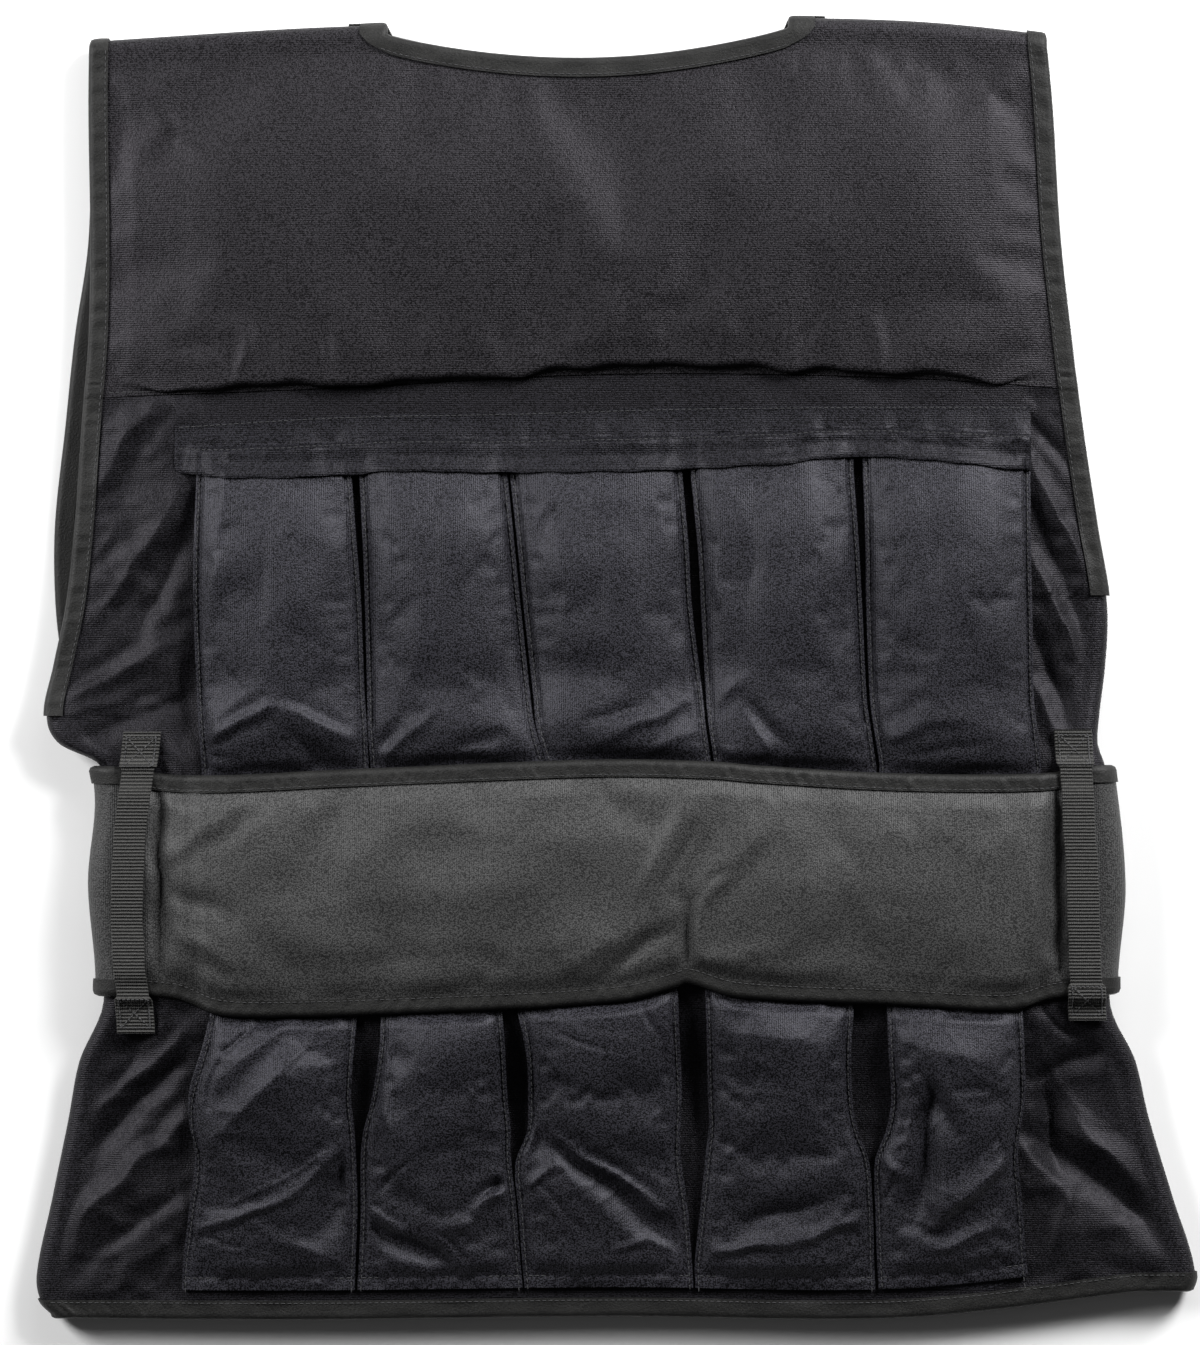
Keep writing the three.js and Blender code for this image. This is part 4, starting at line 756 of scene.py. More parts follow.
def tape_ripple(length, seed):
    """Small puckers across a tape where its stitches draw it in."""
    at = np.arange(length) * 1.7
    waves = ripples(at, np.zeros(length), 7, seed) * TAPE_PUCKER
    profile = np.sin(np.linspace(0.15, 1, TAPE_CELLS + 1) * math.pi)
    return waves[:, None, None] * profile[None, :, None]


def outward_of(outer, inner):
    """The way out across a sheet's edge, square to the sheet."""
    up = outer[:, 0] - inner[:, 0]
    up /= np.linalg.norm(up, axis=-1, keepdims=True)
    out = (outer[:, 0] + inner[:, 0] - outer[:, -1] - inner[:, -1]) / 2
    out -= up * np.einsum("ij,ij->i", out, up)[:, None]
    return out / np.linalg.norm(out, axis=-1, keepdims=True)


def tape(name, strips, closed, seed):
    """A tape folded round an edge, from strips of outer and inner points."""
    outer = np.concatenate([s[0] for s in strips])
    inner = np.concatenate([s[1] for s in strips])
    rings = tape_ring_points(outer, inner, outward_of(outer, inner), tape_ripple(len(outer), seed))
    return loft(name, rings, closed, crease=60)


# How cloth settles over filling, by simulation
SETTLE_FRAMES = 18


def cloth_mesh(lattices):
    """One mesh of several open lattices, in metres, and which of its points the rims hold."""
    cloud, faces, held = [], [], []
    for lattice in lattices:
        columns, rows = lattice.shape[:2]
        index = np.arange(columns * rows).reshape(columns, rows) + sum(len(c) for c in cloud)
        corners = index[:-1, :-1], index[1:, :-1], index[1:, 1:], index[:-1, 1:]
        faces += np.stack(corners, -1).reshape(-1, 4).tolist()
        inside = np.zeros((columns, rows), bool)
        inside[1:-1, 1:-1] = True
        held += index[~inside].tolist()
        cloud.append(to_frame(lattice))
    mesh = bpy.data.meshes.new("settling")
    mesh.from_pydata(np.concatenate(cloud).tolist(), [], faces)
    return mesh, held


def settled(lattices, pressure, growth, stiffness, cap):
    """How far each point moves, in mm, when pressure fills cloth that is cut a little too large."""
    mesh, held = cloth_mesh(lattices)
    cloth = bpy.data.objects.new("settling", mesh)
    link(cloth)
    cloth.vertex_groups.new(name="held").add(held, 1.0, "REPLACE")
    modifier = cloth.modifiers.new("cloth", "CLOTH")
    settings = modifier.settings
    settings.quality = 6
    settings.mass = 0.15
    settings.tension_stiffness = 20
    settings.compression_stiffness = 20
    settings.shear_stiffness = 8
    settings.bending_stiffness = stiffness
    settings.use_pressure = True
    settings.uniform_pressure_force = pressure
    settings.shrink_min = -growth
    settings.vertex_group_mass = "held"
    settings.effector_weights.gravity = 0
    modifier.collision_settings.use_collision = False
    modifier.point_cache.frame_start = 1
    modifier.point_cache.frame_end = SETTLE_FRAMES
    scene = bpy.context.scene
    for step in range(1, SETTLE_FRAMES + 1):
        scene.frame_set(step)
    shown = cloth.evaluated_get(bpy.context.evaluated_depsgraph_get()).to_mesh()
    after = np.empty(len(shown.vertices) * 3)
    shown.vertices.foreach_get("co", after)
    before = np.concatenate([to_frame(lattice) for lattice in lattices])
    move = (after.reshape(-1, 3) - before) / MM
    far = np.linalg.norm(move, axis=1, keepdims=True)
    move = np.nan_to_num(move * np.minimum(1, cap / np.maximum(far, 1e-6)))
    bpy.data.objects.remove(cloth)
    bpy.data.meshes.remove(mesh)
    sizes = np.cumsum([lattice.shape[0] * lattice.shape[1] for lattice in lattices])[:-1]
    return [part.reshape(lattice.shape) for part, lattice in zip(np.split(move, sizes), lattices)]


def resampled(values, places):
    """Values along the first axis, read smoothly at places between them."""
    k = np.clip(np.floor(places).astype(int), 0, len(values) - 2)
    t = (places - k).reshape(-1, *[1] * (values.ndim - 1))
    slopes = np.gradient(values, axis=0)
    rise = t * t * (3 - 2 * t)
    bend = slopes[k] * t * (1 - t) ** 2 + slopes[k + 1] * t * t * (t - 1)
    return mix(values[k], values[k + 1], rise) + bend


def thinned(lattice, size):
    """A coarser copy of a lattice, with cells about size mm across."""
    places = []
    for axis in (0, 1):
        middle = lattice.take(lattice.shape[1 - axis] // 2, axis=1 - axis)
        length = np.linalg.norm(np.diff(middle, axis=0), axis=1).sum()
        places.append(np.linspace(0, lattice.shape[axis] - 1, max(5, int(length / size) + 1)))
    return sampled(lattice, *places)


def sampled(lattice, columns, rows):
    return resampled(resampled(lattice, columns).swapaxes(0, 1), rows).swapaxes(0, 1)


def settle(lattices, size, pressure, growth, stiffness, cap):
    """How far each point of some fine lattices moves as their cloth settles together."""
    coarse = [thinned(lattice, size) for lattice in lattices]
    moves = settled(coarse, pressure, growth, stiffness, cap)
    spread = []
    for fine, move in zip(lattices, moves):
        places = [np.linspace(0, n - 1, m) for n, m in zip(move.shape, fine.shape[:2])]
        spread.append(sampled(move, *places))
    return spread


# The back below the yoke, fine at its two margins and plain under the pockets
def pocket_side(pocket, side):
    places = UPPER_PLACES if pocket.bank == "upper" else LOWER_PLACES
    shares = curve(places, getattr(pocket, side))
    return lambda y: shares(share_up(y)) * HALF_WIDTH


def bank_side(index, side):
    """One side of a whole bank of pockets, all the way up the back."""
    upper, lower = POCKETS[index], POCKETS[index + 5]
    shares = curve(LOWER_PLACES + UPPER_PLACES, getattr(lower, side) + getattr(upper, side))
    return lambda y: shares(share_up(y)) * HALF_WIDTH


bank_left = bank_side(0, "left")
bank_right = bank_side(4, "right")
MARGIN_CELLS = 42
BANK_CELLS = 44


def back_columns(left, right, y):
    stops = (left, left + TAPE_WIDTH, bank_left(y) + 4, bank_right(y) - 4, right - TAPE_WIDTH, right)
    return spaced(stops, (TAPE_CELLS, MARGIN_CELLS, BANK_CELLS, MARGIN_CELLS, TAPE_CELLS))


BACK_ROWS = (TAPE_CELLS, 270)
back_x, back_y = sheet_lattice(
    (hem, raised(hem, TAPE_WIDTH), raised(yoke_seam, -0.25)), BACK_ROWS, back_columns
)
back_relief = margin_relief(back_x, back_y)
back_low = back_under(back_x, back_y) + back_relief
back_outer = points(back_x, back_y, back_low + CLOTH)
back_inner = points(back_x, back_y, back_low)
left_margin = (slice(TAPE_CELLS, TAPE_CELLS + MARGIN_CELLS + 1), slice(TAPE_CELLS, None))
right_margin = (slice(-1 - TAPE_CELLS - MARGIN_CELLS, -TAPE_CELLS), slice(TAPE_CELLS, None))
margin_moves = settle([back_outer[left_margin], back_outer[right_margin]], 5.0, 1.0, 0.007, 0.8, 3.0)
for margin, moved in zip((left_margin, right_margin), margin_moves):
    back_outer[margin] += moved
    back_inner[margin] += moved
back_outer, back_inner = with_side_rolls(back_outer, back_inner, fold_centre(back_x, back_y), 1)


def side_keep(outer):
    """The cells of a body sheet: its rolled sides end at the underarms."""
    keep = np.ones((outer.shape[0] - 1, outer.shape[1] - 1), bool)
    keep[:ROLLS] = outer[ROLLS, :-1, 1] <= LEFT_UNDERARM
    keep[-ROLLS:] = outer[-1 - ROLLS, :-1, 1] <= RIGHT_UNDERARM
    return keep


back_panel = slab("back_panel_cloth", back_outer, back_inner, side_keep(back_outer))

# The yoke, padded and rolled over its seam
NECK_CELLS = 50
YOKE_LEFT_CELLS = 70
YOKE_RIGHT_CELLS = 62
NECK_FROM = ROLLS + TAPE_CELLS + YOKE_LEFT_CELLS


def yoke_columns(left, right, y):
    neck = np.full_like(y, NECK_LEFT), np.full_like(y, NECK_RIGHT)
    stops = (left, left + TAPE_WIDTH, *neck, right - TAPE_WIDTH, right)
    return spaced(stops, (TAPE_CELLS, YOKE_LEFT_CELLS, NECK_CELLS, YOKE_RIGHT_CELLS, TAPE_CELLS))


yoke_foot = raised(yoke_seam, 0.25)
LIP_RADIUS = 4.2
LIP_ROWS = (3, 8)
YOKE_ROWS = (*LIP_ROWS, 84, TAPE_CELLS)


def yoke_lip_line(x):
    return np.maximum(yoke_lip(x), yoke_foot(x) + 1.5)


yoke_x, yoke_y = sheet_lattice(
    (
        yoke_foot,
        yoke_lip_line,
        raised(yoke_lip_line, 6),
        raised(back_top, -TAPE_WIDTH),
        back_top,
    ),
    YOKE_ROWS,
    yoke_columns,
)


def lip_strength(x, y):
    """1 along the middle of the lip, 0 at both armholes."""
    sides = np.minimum(x - left_edge(y), right_edge(y) - x)
    return smooth((sides - 14) / 26)


def yoke_relief(x, y):
    calm = smooth((inset(x, y, back_top) - 9) / 12)
    return calm * (fold_rise("yoke", x, y) + 0.7 * ripples(x, y, 90, 31))


def yoke_over(x, y):
    """The yoke's outer face, away from its lip."""
    calm = smooth((inset(x, y, back_top) - TAPE_WIDTH + 2) / 75)
    return back_under(x, y) + CLOTH + YOKE_PADDING * calm + yoke_relief(x, y)


def shape_yoke():
    base = back_under(yoke_x, yoke_y)
    high = yoke_over(yoke_x, yoke_y)
    first, last = LIP_ROWS[0], sum(LIP_ROWS)
    strength = lip_strength(yoke_x[:, last], yoke_y[:, last])
    flange = base[:, : first + 1] + CLOTH + 0.2
    scallop = 1.6 * ripples(yoke_x[:, first], 0 * yoke_x[:, first], 30, 41) - 0.6
    x, y, z = yoke_x.copy(), yoke_y.copy(), high
    z[:, : first + 1] = flange
    seat = z[:, first]
    for row in range(first, last + 1):
        turn = math.radians(-50 + 140 * (row - first) / (last - first))
        top = high[:, last]
        radius = np.minimum(LIP_RADIUS, (top - seat) * 0.55)
        rolled_y = yoke_y[:, first] + radius - radius * math.cos(turn) * (1 + 0.15 * math.cos(turn))
        rolled_z = top - radius + np.where(turn < 0, top - radius - seat, radius) * math.sin(turn)
        hang = math.sin(math.pi * (row - first) / (last - first + 2))
        rolled_y = rolled_y + hang * scallop
        gentle = mix(seat, top, smooth((row - first) / (last - first)))
        y[:, row] = mix(yoke_y[:, row], rolled_y, strength)
        z[:, row] = mix(gentle, rolled_z, strength)
    return points(x, y, z), points(yoke_x, yoke_y, base)


yoke_outer, yoke_inner = shape_yoke()
yoke_face = (slice(TAPE_CELLS, -TAPE_CELLS), slice(sum(LIP_ROWS), -TAPE_CELLS))
yoke_outer[yoke_face] += settle([yoke_outer[yoke_face]], 7.0, 0.6, 0.003, 2.0, 3.0)[0]
yoke_outer, yoke_inner = with_side_rolls(yoke_outer, yoke_inner, fold_centre(yoke_x, yoke_y), 1)
yoke_top_x = yoke_outer[:, -1, 0]
yoke_top_y = yoke_outer[:, -1, 1]
yoke_outer, yoke_inner = with_top_roll(yoke_outer, yoke_inner, fold_centre(yoke_top_x, yoke_top_y), 1)


def yoke_keep(outer):
    """The yoke's cells: no side rolls, and none of the top roll at the neck."""
    keep = np.ones((outer.shape[0] - 1, outer.shape[1] - 1), bool)
    keep[:ROLLS] = False
    keep[-ROLLS:] = False
    keep[NECK_FROM : NECK_FROM + NECK_CELLS, -ROLLS:] = False
    return keep


yoke = slab("yoke_cloth", yoke_outer, yoke_inner, yoke_keep(yoke_outer))

# The front, plain
FRONT_ROWS = (TAPE_CELLS, 120, TAPE_CELLS)
FRONT_SIDE_CELLS = 36
FRONT_NECK_FROM = ROLLS + TAPE_CELLS + FRONT_SIDE_CELLS


def front_columns(left, right, y):
    rise = smooth((share_up(y) - 0.45) / 0.5)
    neck_left = mix(-BELT_OVERLAP / 2, NECK_LEFT, rise)
    neck_right = mix(BELT_OVERLAP / 2, NECK_RIGHT, rise)
    stops = (left, left + TAPE_WIDTH, neck_left, neck_right, right - TAPE_WIDTH, right)
    return spaced(stops, (TAPE_CELLS, FRONT_SIDE_CELLS, NECK_CELLS, FRONT_SIDE_CELLS, TAPE_CELLS))


front_x, front_y = sheet_lattice(
    (hem, raised(hem, TAPE_WIDTH), raised(front_top, -TAPE_WIDTH), front_top),
    FRONT_ROWS,
    front_columns,
    "front_left",
)
front_taped = 1 - smooth((inset(front_x, front_y, front_top, "front_left") - TAPE_WIDTH) / 6)
front_low = front_under(front_x, front_y, front_taped)
front_outer = points(front_x, front_y, front_low)
front_inner = points(front_x, front_y, front_low + CLOTH)
front_outer, front_inner = with_side_rolls(front_outer, front_inner, fold_centre(front_x, front_y), -1)
front_outer, front_inner = with_top_roll(
    front_outer, front_inner, fold_centre(front_outer[:, -1, 0], front_outer[:, -1, 1]), -1
)


def front_keep(outer):
    keep = side_keep(outer)
    keep[:ROLLS, -ROLLS:] = False
    keep[-ROLLS:, -ROLLS:] = False
    keep[FRONT_NECK_FROM : FRONT_NECK_FROM + NECK_CELLS, -ROLLS:] = False
    return keep


front_panel = slab("front_panel_cloth", front_outer, front_inner, front_keep(front_outer))

# The tapes round the vest's own edges
hem_strips = [
    (back_outer[:, : TAPE_CELLS + 1], back_inner[:, : TAPE_CELLS + 1]),
    (front_outer[::-1, : TAPE_CELLS + 1], front_inner[::-1, : TAPE_CELLS + 1]),
]
hem_binding = tape("hem_tape", hem_strips, True, 51)


def armhole_strips(side, underarm):
    """The strips of an armhole's edge, up the back, over the shoulder and down the front."""
    def strip(lattice, rows):
        edge = np.arange(TAPE_CELLS + 1) + ROLLS
        columns = edge if side < 0 else lattice.shape[0] - 1 - edge
        return lattice[columns][:, rows].swapaxes(0, 1)

    def pair(outer, inner, rows, turned=False):
        rows = rows[::-1] if turned else rows
        return strip(outer, rows), strip(inner, rows)

    column = ROLLS if side < 0 else -1 - ROLLS
    first_back = int(np.argmax(back_outer[column, :, 1] > underarm))
    first_front = int(np.argmax(front_outer[column, :, 1] > underarm))
    return [
        pair(back_outer, back_inner, np.arange(first_back, back_outer.shape[1])),
        pair(yoke_outer, yoke_inner, np.arange(0, yoke_outer.shape[1])),
        pair(front_outer, front_inner, np.arange(first_front, front_outer.shape[1]), turned=True),
    ]


armhole_binding_left = tape("armhole_tape_left", armhole_strips(-1, LEFT_UNDERARM), False, 52)
armhole_binding_right = tape("armhole_tape_right", armhole_strips(1, RIGHT_UNDERARM), False, 53)


def neck_strips():
    """The strips of the neck's edge: the back's, over one shoulder fold, the front's and back."""
    def half(outer, inner, neck_from):
        neck_to = neck_from + NECK_CELLS
        edge = outer.shape[1] - 1 - ROLLS
        down = edge - np.arange(TAPE_CELLS + 1)

        def along(columns):
            return [lattice[columns][:, down] for lattice in (outer, inner)]

        def over(column, away):
            beside = column + away * np.arange(TAPE_CELLS + 1)
            return [lattice[beside][:, edge + 1 :].swapaxes(0, 1) for lattice in (outer, inner)]

        def corner(column, away):
            """Turns from down the neck's edge to out along the shoulder."""
            made = [[], []]
            for turn in (0.3, 0.65):
                for side, lattice in enumerate((outer, inner)):
                    down_strip = lattice[column, down]
                    out_strip = lattice[column + away * np.arange(TAPE_CELLS + 1), edge]
                    made[side].append(mix(down_strip, out_strip, turn))
            return [np.stack(side) for side in made]

        return {
            "edge": along(np.arange(neck_from + 1, neck_to)),
            "left": (corner(neck_from, -1), over(neck_from, -1)),
            "right": (corner(neck_to, 1), over(neck_to, 1)),
        }

    def turned(pair):
        return [side[::-1] for side in pair]

    back = half(yoke_outer, yoke_inner, NECK_FROM)
    front = half(front_outer, front_inner, FRONT_NECK_FROM)
    return [
        back["edge"], back["right"][0], back["right"][1],
        turned(front["right"][1]), turned(front["right"][0]),
        turned(front["edge"]),
        front["left"][0], front["left"][1],
        turned(back["left"][1]), turned(back["left"][0]),
    ]


neck_binding = tape("neck_tape", neck_strips(), True, 54)

# The pockets
POCKET_CELLS = 64
FLANGE = 2.4


def pocket_name_on(pocket):
    return pocket.name.replace("pocket_", "").replace("_", " ")


def pocket_ends(pocket):
    if pocket.bank == "upper":
        return raised(belt_head, -BELT_TAPE_WIDTH), lambda x: (flap_foot(x) + flap_head(x)) / 2
    return pocket_foot, raised(belt_foot, BELT_TAPE_WIDTH)


def pocket_height(pocket, x, y):
    """How high a pocket's top stands over the back, at places inside it."""
    left, right = pocket_side(pocket, "left")(y), pocket_side(pocket, "right")(y)
    from_left, from_right = np.maximum(x - left, 0), np.maximum(right - x, 0)
    beside = np.minimum(from_left, from_right)
    if pocket.bank == "upper":
        foot, head = raised(belt_head, BELT_LIP), flap_foot
    else:
        foot, head = pocket_foot, raised(belt_foot, -BELT_LIP)
    along = (y - foot(x)) / (head(x) - foot(x))
    fill = curve(FILL_PLACES, FILLS[pocket.bank])(along) * pocket.fullness
    wall = POCKET_WALL * np.minimum(1, fill * 1.1)
    inside = np.clip((from_left - FLANGE) / np.maximum(right - left - 2 * FLANGE, 1), 0, 1)
    crown = (POCKET_DEPTH * fill - wall) * np.sin(math.pi * inside) ** 0.62
    pucker = 0.5 + 0.5 * ripples(x * 0.2, y, 8, 61 + POCKETS.index(pocket))
    groove = (0.7 + 0.5 * pucker) * np.exp(-(((beside - FLANGE - 0.5) / 0.8) ** 2))
    calm = smooth((beside - FLANGE) / 7)
    seed = 70 + 5 * POCKETS.index(pocket)
    loose = 1.0 if pocket.bank == "lower" else 0.5
    crumple = 0.3 * loose * creases(x, y, 38, seed) + 0.75 * ripples(x, y, 44, seed + 3)
    near_edge = np.exp(-beside / 6) * smooth((beside - FLANGE) / 2)
    drawn = 0.28 * near_edge * ripples(x * 0.35, y, 7.5, seed + 4)
    folded = fold_rise(pocket_name_on(pocket), x, y)
    full = wall + crown - groove + calm * (folded + crumple) + drawn
    if pocket.bank == "upper":
        full *= mix(1, 0.62, smooth((y - flap_foot(x)) / 8))
        under = 1 - smooth((y - belt_head(x) - 0.5) / 9)
    else:
        under = smooth((y - belt_foot(x) + 9.5) / 9)
        sewn = y - pocket_foot(x)
        full = mix(1.8, full, smooth((sewn - 5.5) / 9)) - 0.8 * np.exp(-(((sewn - 6) / 1.0) ** 2))
    least = 1.5
    full = (full + least + np.sqrt((full - least) ** 2 + 1.2)) / 2
    return mix(full, TUCK, under)


def pocket_middle(pocket):
    return (pocket.left[2] + pocket.right[2]) / 2 * HALF_WIDTH


def pocket_lines_up(pocket, rows):
    """Shares up a pocket, and where its two sides are at them."""
    foot, head = pocket_ends(pocket)
    centre = pocket_middle(pocket)
    t = np.linspace(0, 1, rows)
    middle = mix(foot(centre), head(centre), t)
    return t, pocket_side(pocket, "left")(middle), pocket_side(pocket, "right")(middle)


def pocket_face(pocket, columns, rows, margin):
    """A lattice over a pocket's top, margin in from both of its sides."""
    foot, head = pocket_ends(pocket)
    t, left, right = pocket_lines_up(pocket, rows)
    x = np.linspace(left + margin, right - margin, columns)
    y = mix(foot(x), head(x), t)
    return points(x, y, back_over(x, y) + GAP + pocket_height(pocket, x, y))


SETTLE_MARGIN = FLANGE + 0.8


def pocket_rows(pocket):
    return 105 if pocket.bank == "upper" else 150


def pocket_puckers():
    """How each pocket's face settles over its filling, the slack lower ones with more folds."""
    moves = []
    for bank, pressure, growth in (("upper", 2.5, 0.003), ("lower", 1.6, 0.008)):
        faces = [
            pocket_face(p, POCKET_CELLS, pocket_rows(p), SETTLE_MARGIN) for p in POCKETS if p.bank == bank
        ]
        moves += settle(faces, 4.0, pressure, growth, 0.8, 2.5)
    return dict(zip([p.name for p in POCKETS], moves))


def pocket_shell(pocket, pucker):
    """A pocket as one closed form: its filled face, its walls and its seat on the back."""
    foot, head = pocket_ends(pocket)
    t, left, right = pocket_lines_up(pocket, pocket_rows(pocket))
    edge = (0.0, 0.8, 1.6, FLANGE, FLANGE + 0.6, FLANGE + 1.3)
    stops = [left + e for e in edge]
    x = np.concatenate([
        np.stack(stops),
        np.linspace(left + FLANGE + 2.2, right - FLANGE - 2.2, POCKET_CELLS),
        np.stack([right - e for e in edge[::-1]]),
    ])
    y = mix(foot(x), head(x), t)
    base = back_over(x, y) + GAP
    height = pocket_height(pocket, x, y)
    tops = points(x, y, base + height)
    inner = slice(len(edge), len(edge) + POCKET_CELLS)
    tops[inner] += pucker
    rings = [tops[i] for i in range(len(x))]
    seat = base[0], base[-1]
    for end, sign in ((0, -1), (-1, 1)):
        wall = []
        stand = height[end]
        for down, out in ((0.5, 0.25), (1.0, -0.4), (1.6, -1.2)):
            drop = np.minimum(down, stand * 0.3)
            wall.append(points(x[end] + sign * out, y[end], base[end] + stand - drop))
        for share, out in ((0.62, -0.6), (0.4, -0.2), (0.15, -0.7)):
            wall.append(points(x[end] + sign * out, y[end], base[end] + (stand - 1.6) * share))
        wall.append(points(x[end] + sign * -1.5, y[end], base[end]))
        rings = wall[::-1] + rings if end == 0 else rings + wall
    lower = [points(mix(x[-1], x[0], k), y[0], mix(seat[1], seat[0], k)) for k in (0.25, 0.5, 0.75)]
    loop = np.stack([*rings, *lower], axis=1)
    return loft(pocket.name + "_cloth", loop, crease=62)


puckers = pocket_puckers()
pocket_cloths = [pocket_shell(pocket, puckers[pocket.name]) for pocket in POCKETS]

# The flap over the upper pockets' tops
FLAP_COLUMNS = 400
FLAP_LEVEL = 85.0
FLAP_ROWS = 27
FLAP_SEAM_ROWS = (13, 25)
SPREAD = 24


def upper_pocket_tops(x, y):
    """How high the upper pockets stand under the flap, at any place, 0 in the gaps."""
    total = np.zeros(x.shape)
    for pocket in POCKETS[:5]:
        left, right = pocket_side(pocket, "left")(y), pocket_side(pocket, "right")(y)
        within = (x >= left) & (x <= right)
        _, head = pocket_ends(pocket)
        covered = 1 - smooth((y - head(x) + 1) / 3)
        total = np.where(within, pocket_height(pocket, x, y) * covered, total)
    return total


def flap_lattice():
    left, right = bank_left(FLAP_LEVEL) - FLAP_OVERHANG, bank_right(FLAP_LEVEL) + 0.5
    across = np.linspace(left, right, FLAP_COLUMNS)[:, None]
    t = np.linspace(0, 1, FLAP_ROWS)[None, :]
    scallop = 0.5 * ripples(across, 0 * across, 22, 91)
    y = mix(flap_foot(across) + scallop, flap_head(across), t)
    x = across + 0 * t
    carried = upper_pocket_tops(x, y)
    weights = np.exp(-((np.arange(-SPREAD, SPREAD + 1) / 11) ** 2))
    weights /= weights.sum()
    spread = np.stack([
        np.convolve(np.pad(column, SPREAD, mode="edge"), weights, mode="valid") for column in carried.T
    ], axis=1)
    height = np.maximum(carried, spread) + 0.5
    stitched = np.exp(-(((t - 0.5) / 0.05) ** 2))
    gathers = 2.6 * np.maximum(ripples(across, y * 0.25, 24, 93), -0.3)
    gathers = gathers + 0.5 * ripples(across, y * 0.2, 11, 94)
    strength = np.exp(-np.abs(t - 0.5) / 0.3)
    height = height + 0.55 * (gathers + 0.6) * strength - 0.35 * stitched
    height = height * mix(1, 0.25, smooth((t - 0.62) / 0.38)) + 0.1
    height += 0.5 * creases(x, y, 16, 95) * smooth(t / 0.2) * (1 - t)
    sewn = smooth((t - 0.9) / 0.1)
    height = mix(np.maximum(height, carried + 0.4), 0.5, sewn)
    return points(x, y, back_over(x, y) + GAP + height)


flap_under = flap_lattice()
flap_over = flap_under + np.array([0, 0, FLAP])
flap_over[:, 0] += np.array([0, -0.3, -0.5])
pocket_flap = slab("pocket_flap_cloth", flap_over, flap_under)

# The belt: a whole loop from its under end at the front, round the left side, across the back,
# round the right side, and over the under end
BELT_ROWS = (7, 34, 7)
BELT_FRONT_CELLS = 60
BELT_BACK_CELLS = 370
BELT_ARC_CELLS = 12
BELT_BACK_FROM = BELT_FRONT_CELLS + BELT_ARC_CELLS
BELT_SHOWN = slice(75, 440)
belt_levels = (
    belt_foot,
    raised(belt_foot, BELT_TAPE_WIDTH),
    raised(belt_head, -BELT_TAPE_WIDTH),
    belt_head,
)


def on_bank(x, y):
    """1 over the tucked ends of the pockets, 0 beyond them."""
    return smooth((x - bank_left(y) + 9) / 8) * smooth((bank_right(y) + 9 - x) / 8)


def belt_relief(x, y):
    calm = smooth((np.minimum(y - belt_foot(x), belt_head(x) - y) - 5) / 8)
    broad = 0.75 * ripples(x, y * 1.4, 56, 101) + 0.12 * creases(x, y, 44, 103, 1.4)
    return calm * (fold_rise("belt", x, y) + broad)


def belt_back_points(x, y):
    inner = back_over(x, y) + BELT_CLEARANCE + (TUCK + GAP) * on_bank(x, y)
    edge = np.minimum(y - belt_foot(x), belt_head(x) - y)
    puff = BELT_PUFF * smooth((edge - BELT_TAPE_WIDTH + 2) / 9)
    sides = smooth((np.minimum(x - left_edge(y), right_edge(y) - x) - 1) / 10)
    outer = inner + BELT_EDGE + sides * np.maximum(puff + belt_relief(x, y), 0.7 - BELT_EDGE)
    return points(x, y, outer), points(x, y, inner)


def belt_front_points(x, y, under):
    lapped = BELT_LAYER * over_overlap(x, OVERLAP_RAMP) * under
    inner = front_under(x, y, 0) - BELT_CLEARANCE - lapped
    return points(x, y, inner - BELT_EDGE), points(x, y, inner)


def belt_lattice():
    rows = sum(BELT_ROWS) + 1
    blank = np.zeros((1, rows))
    left_y = rows_between(blank - 0.9 * HALF_WIDTH, belt_levels, BELT_ROWS)[0]
    right_y = rows_between(blank + 0.85 * HALF_WIDTH, belt_levels, BELT_ROWS)[0]
    left, right = left_edge(left_y), right_edge(right_y)
    half_lap = BELT_OVERLAP / 2
    under_x = np.linspace(np.full(rows, half_lap), left, BELT_FRONT_CELLS, endpoint=False)
    back_x_values = np.linspace(left, right, BELT_BACK_CELLS)
    over_x = np.linspace(np.full(rows, -half_lap), right, BELT_FRONT_CELLS, endpoint=False)[::-1]

    def y_of(x):
        return rows_between(x, belt_levels, BELT_ROWS)

    under = belt_front_points(under_x, y_of(under_x), 1)
    back = belt_back_points(back_x_values, y_of(back_x_values))
    over = belt_front_points(over_x, y_of(over_x), 0)

    def side(edge_inner, outward):
        centre = fold_centre(edge_inner[:, 0], edge_inner[:, 1])
        middle = edge_inner.copy()
        middle[:, 2] = centre
        made = [[], []]
        for angle in np.linspace(0, math.pi, BELT_ARC_CELLS + 2)[1:-1]:
            radius = (edge_inner[:, 2] - centre)[:, None]
            way = math.sin(angle) * outward + math.cos(angle) * SKYWARD
            made[0].append(middle + (radius + BELT_EDGE) * way)
            made[1].append(middle + radius * way)
        return [np.stack(part) for part in made]

    left_arc = side(back[1][0], LEFTWARD)
    right_arc = side(back[1][-1], RIGHTWARD)
    return [
        np.concatenate([under[k], left_arc[k][::-1], back[k], right_arc[k], over[k]]) for k in (0, 1)
    ]


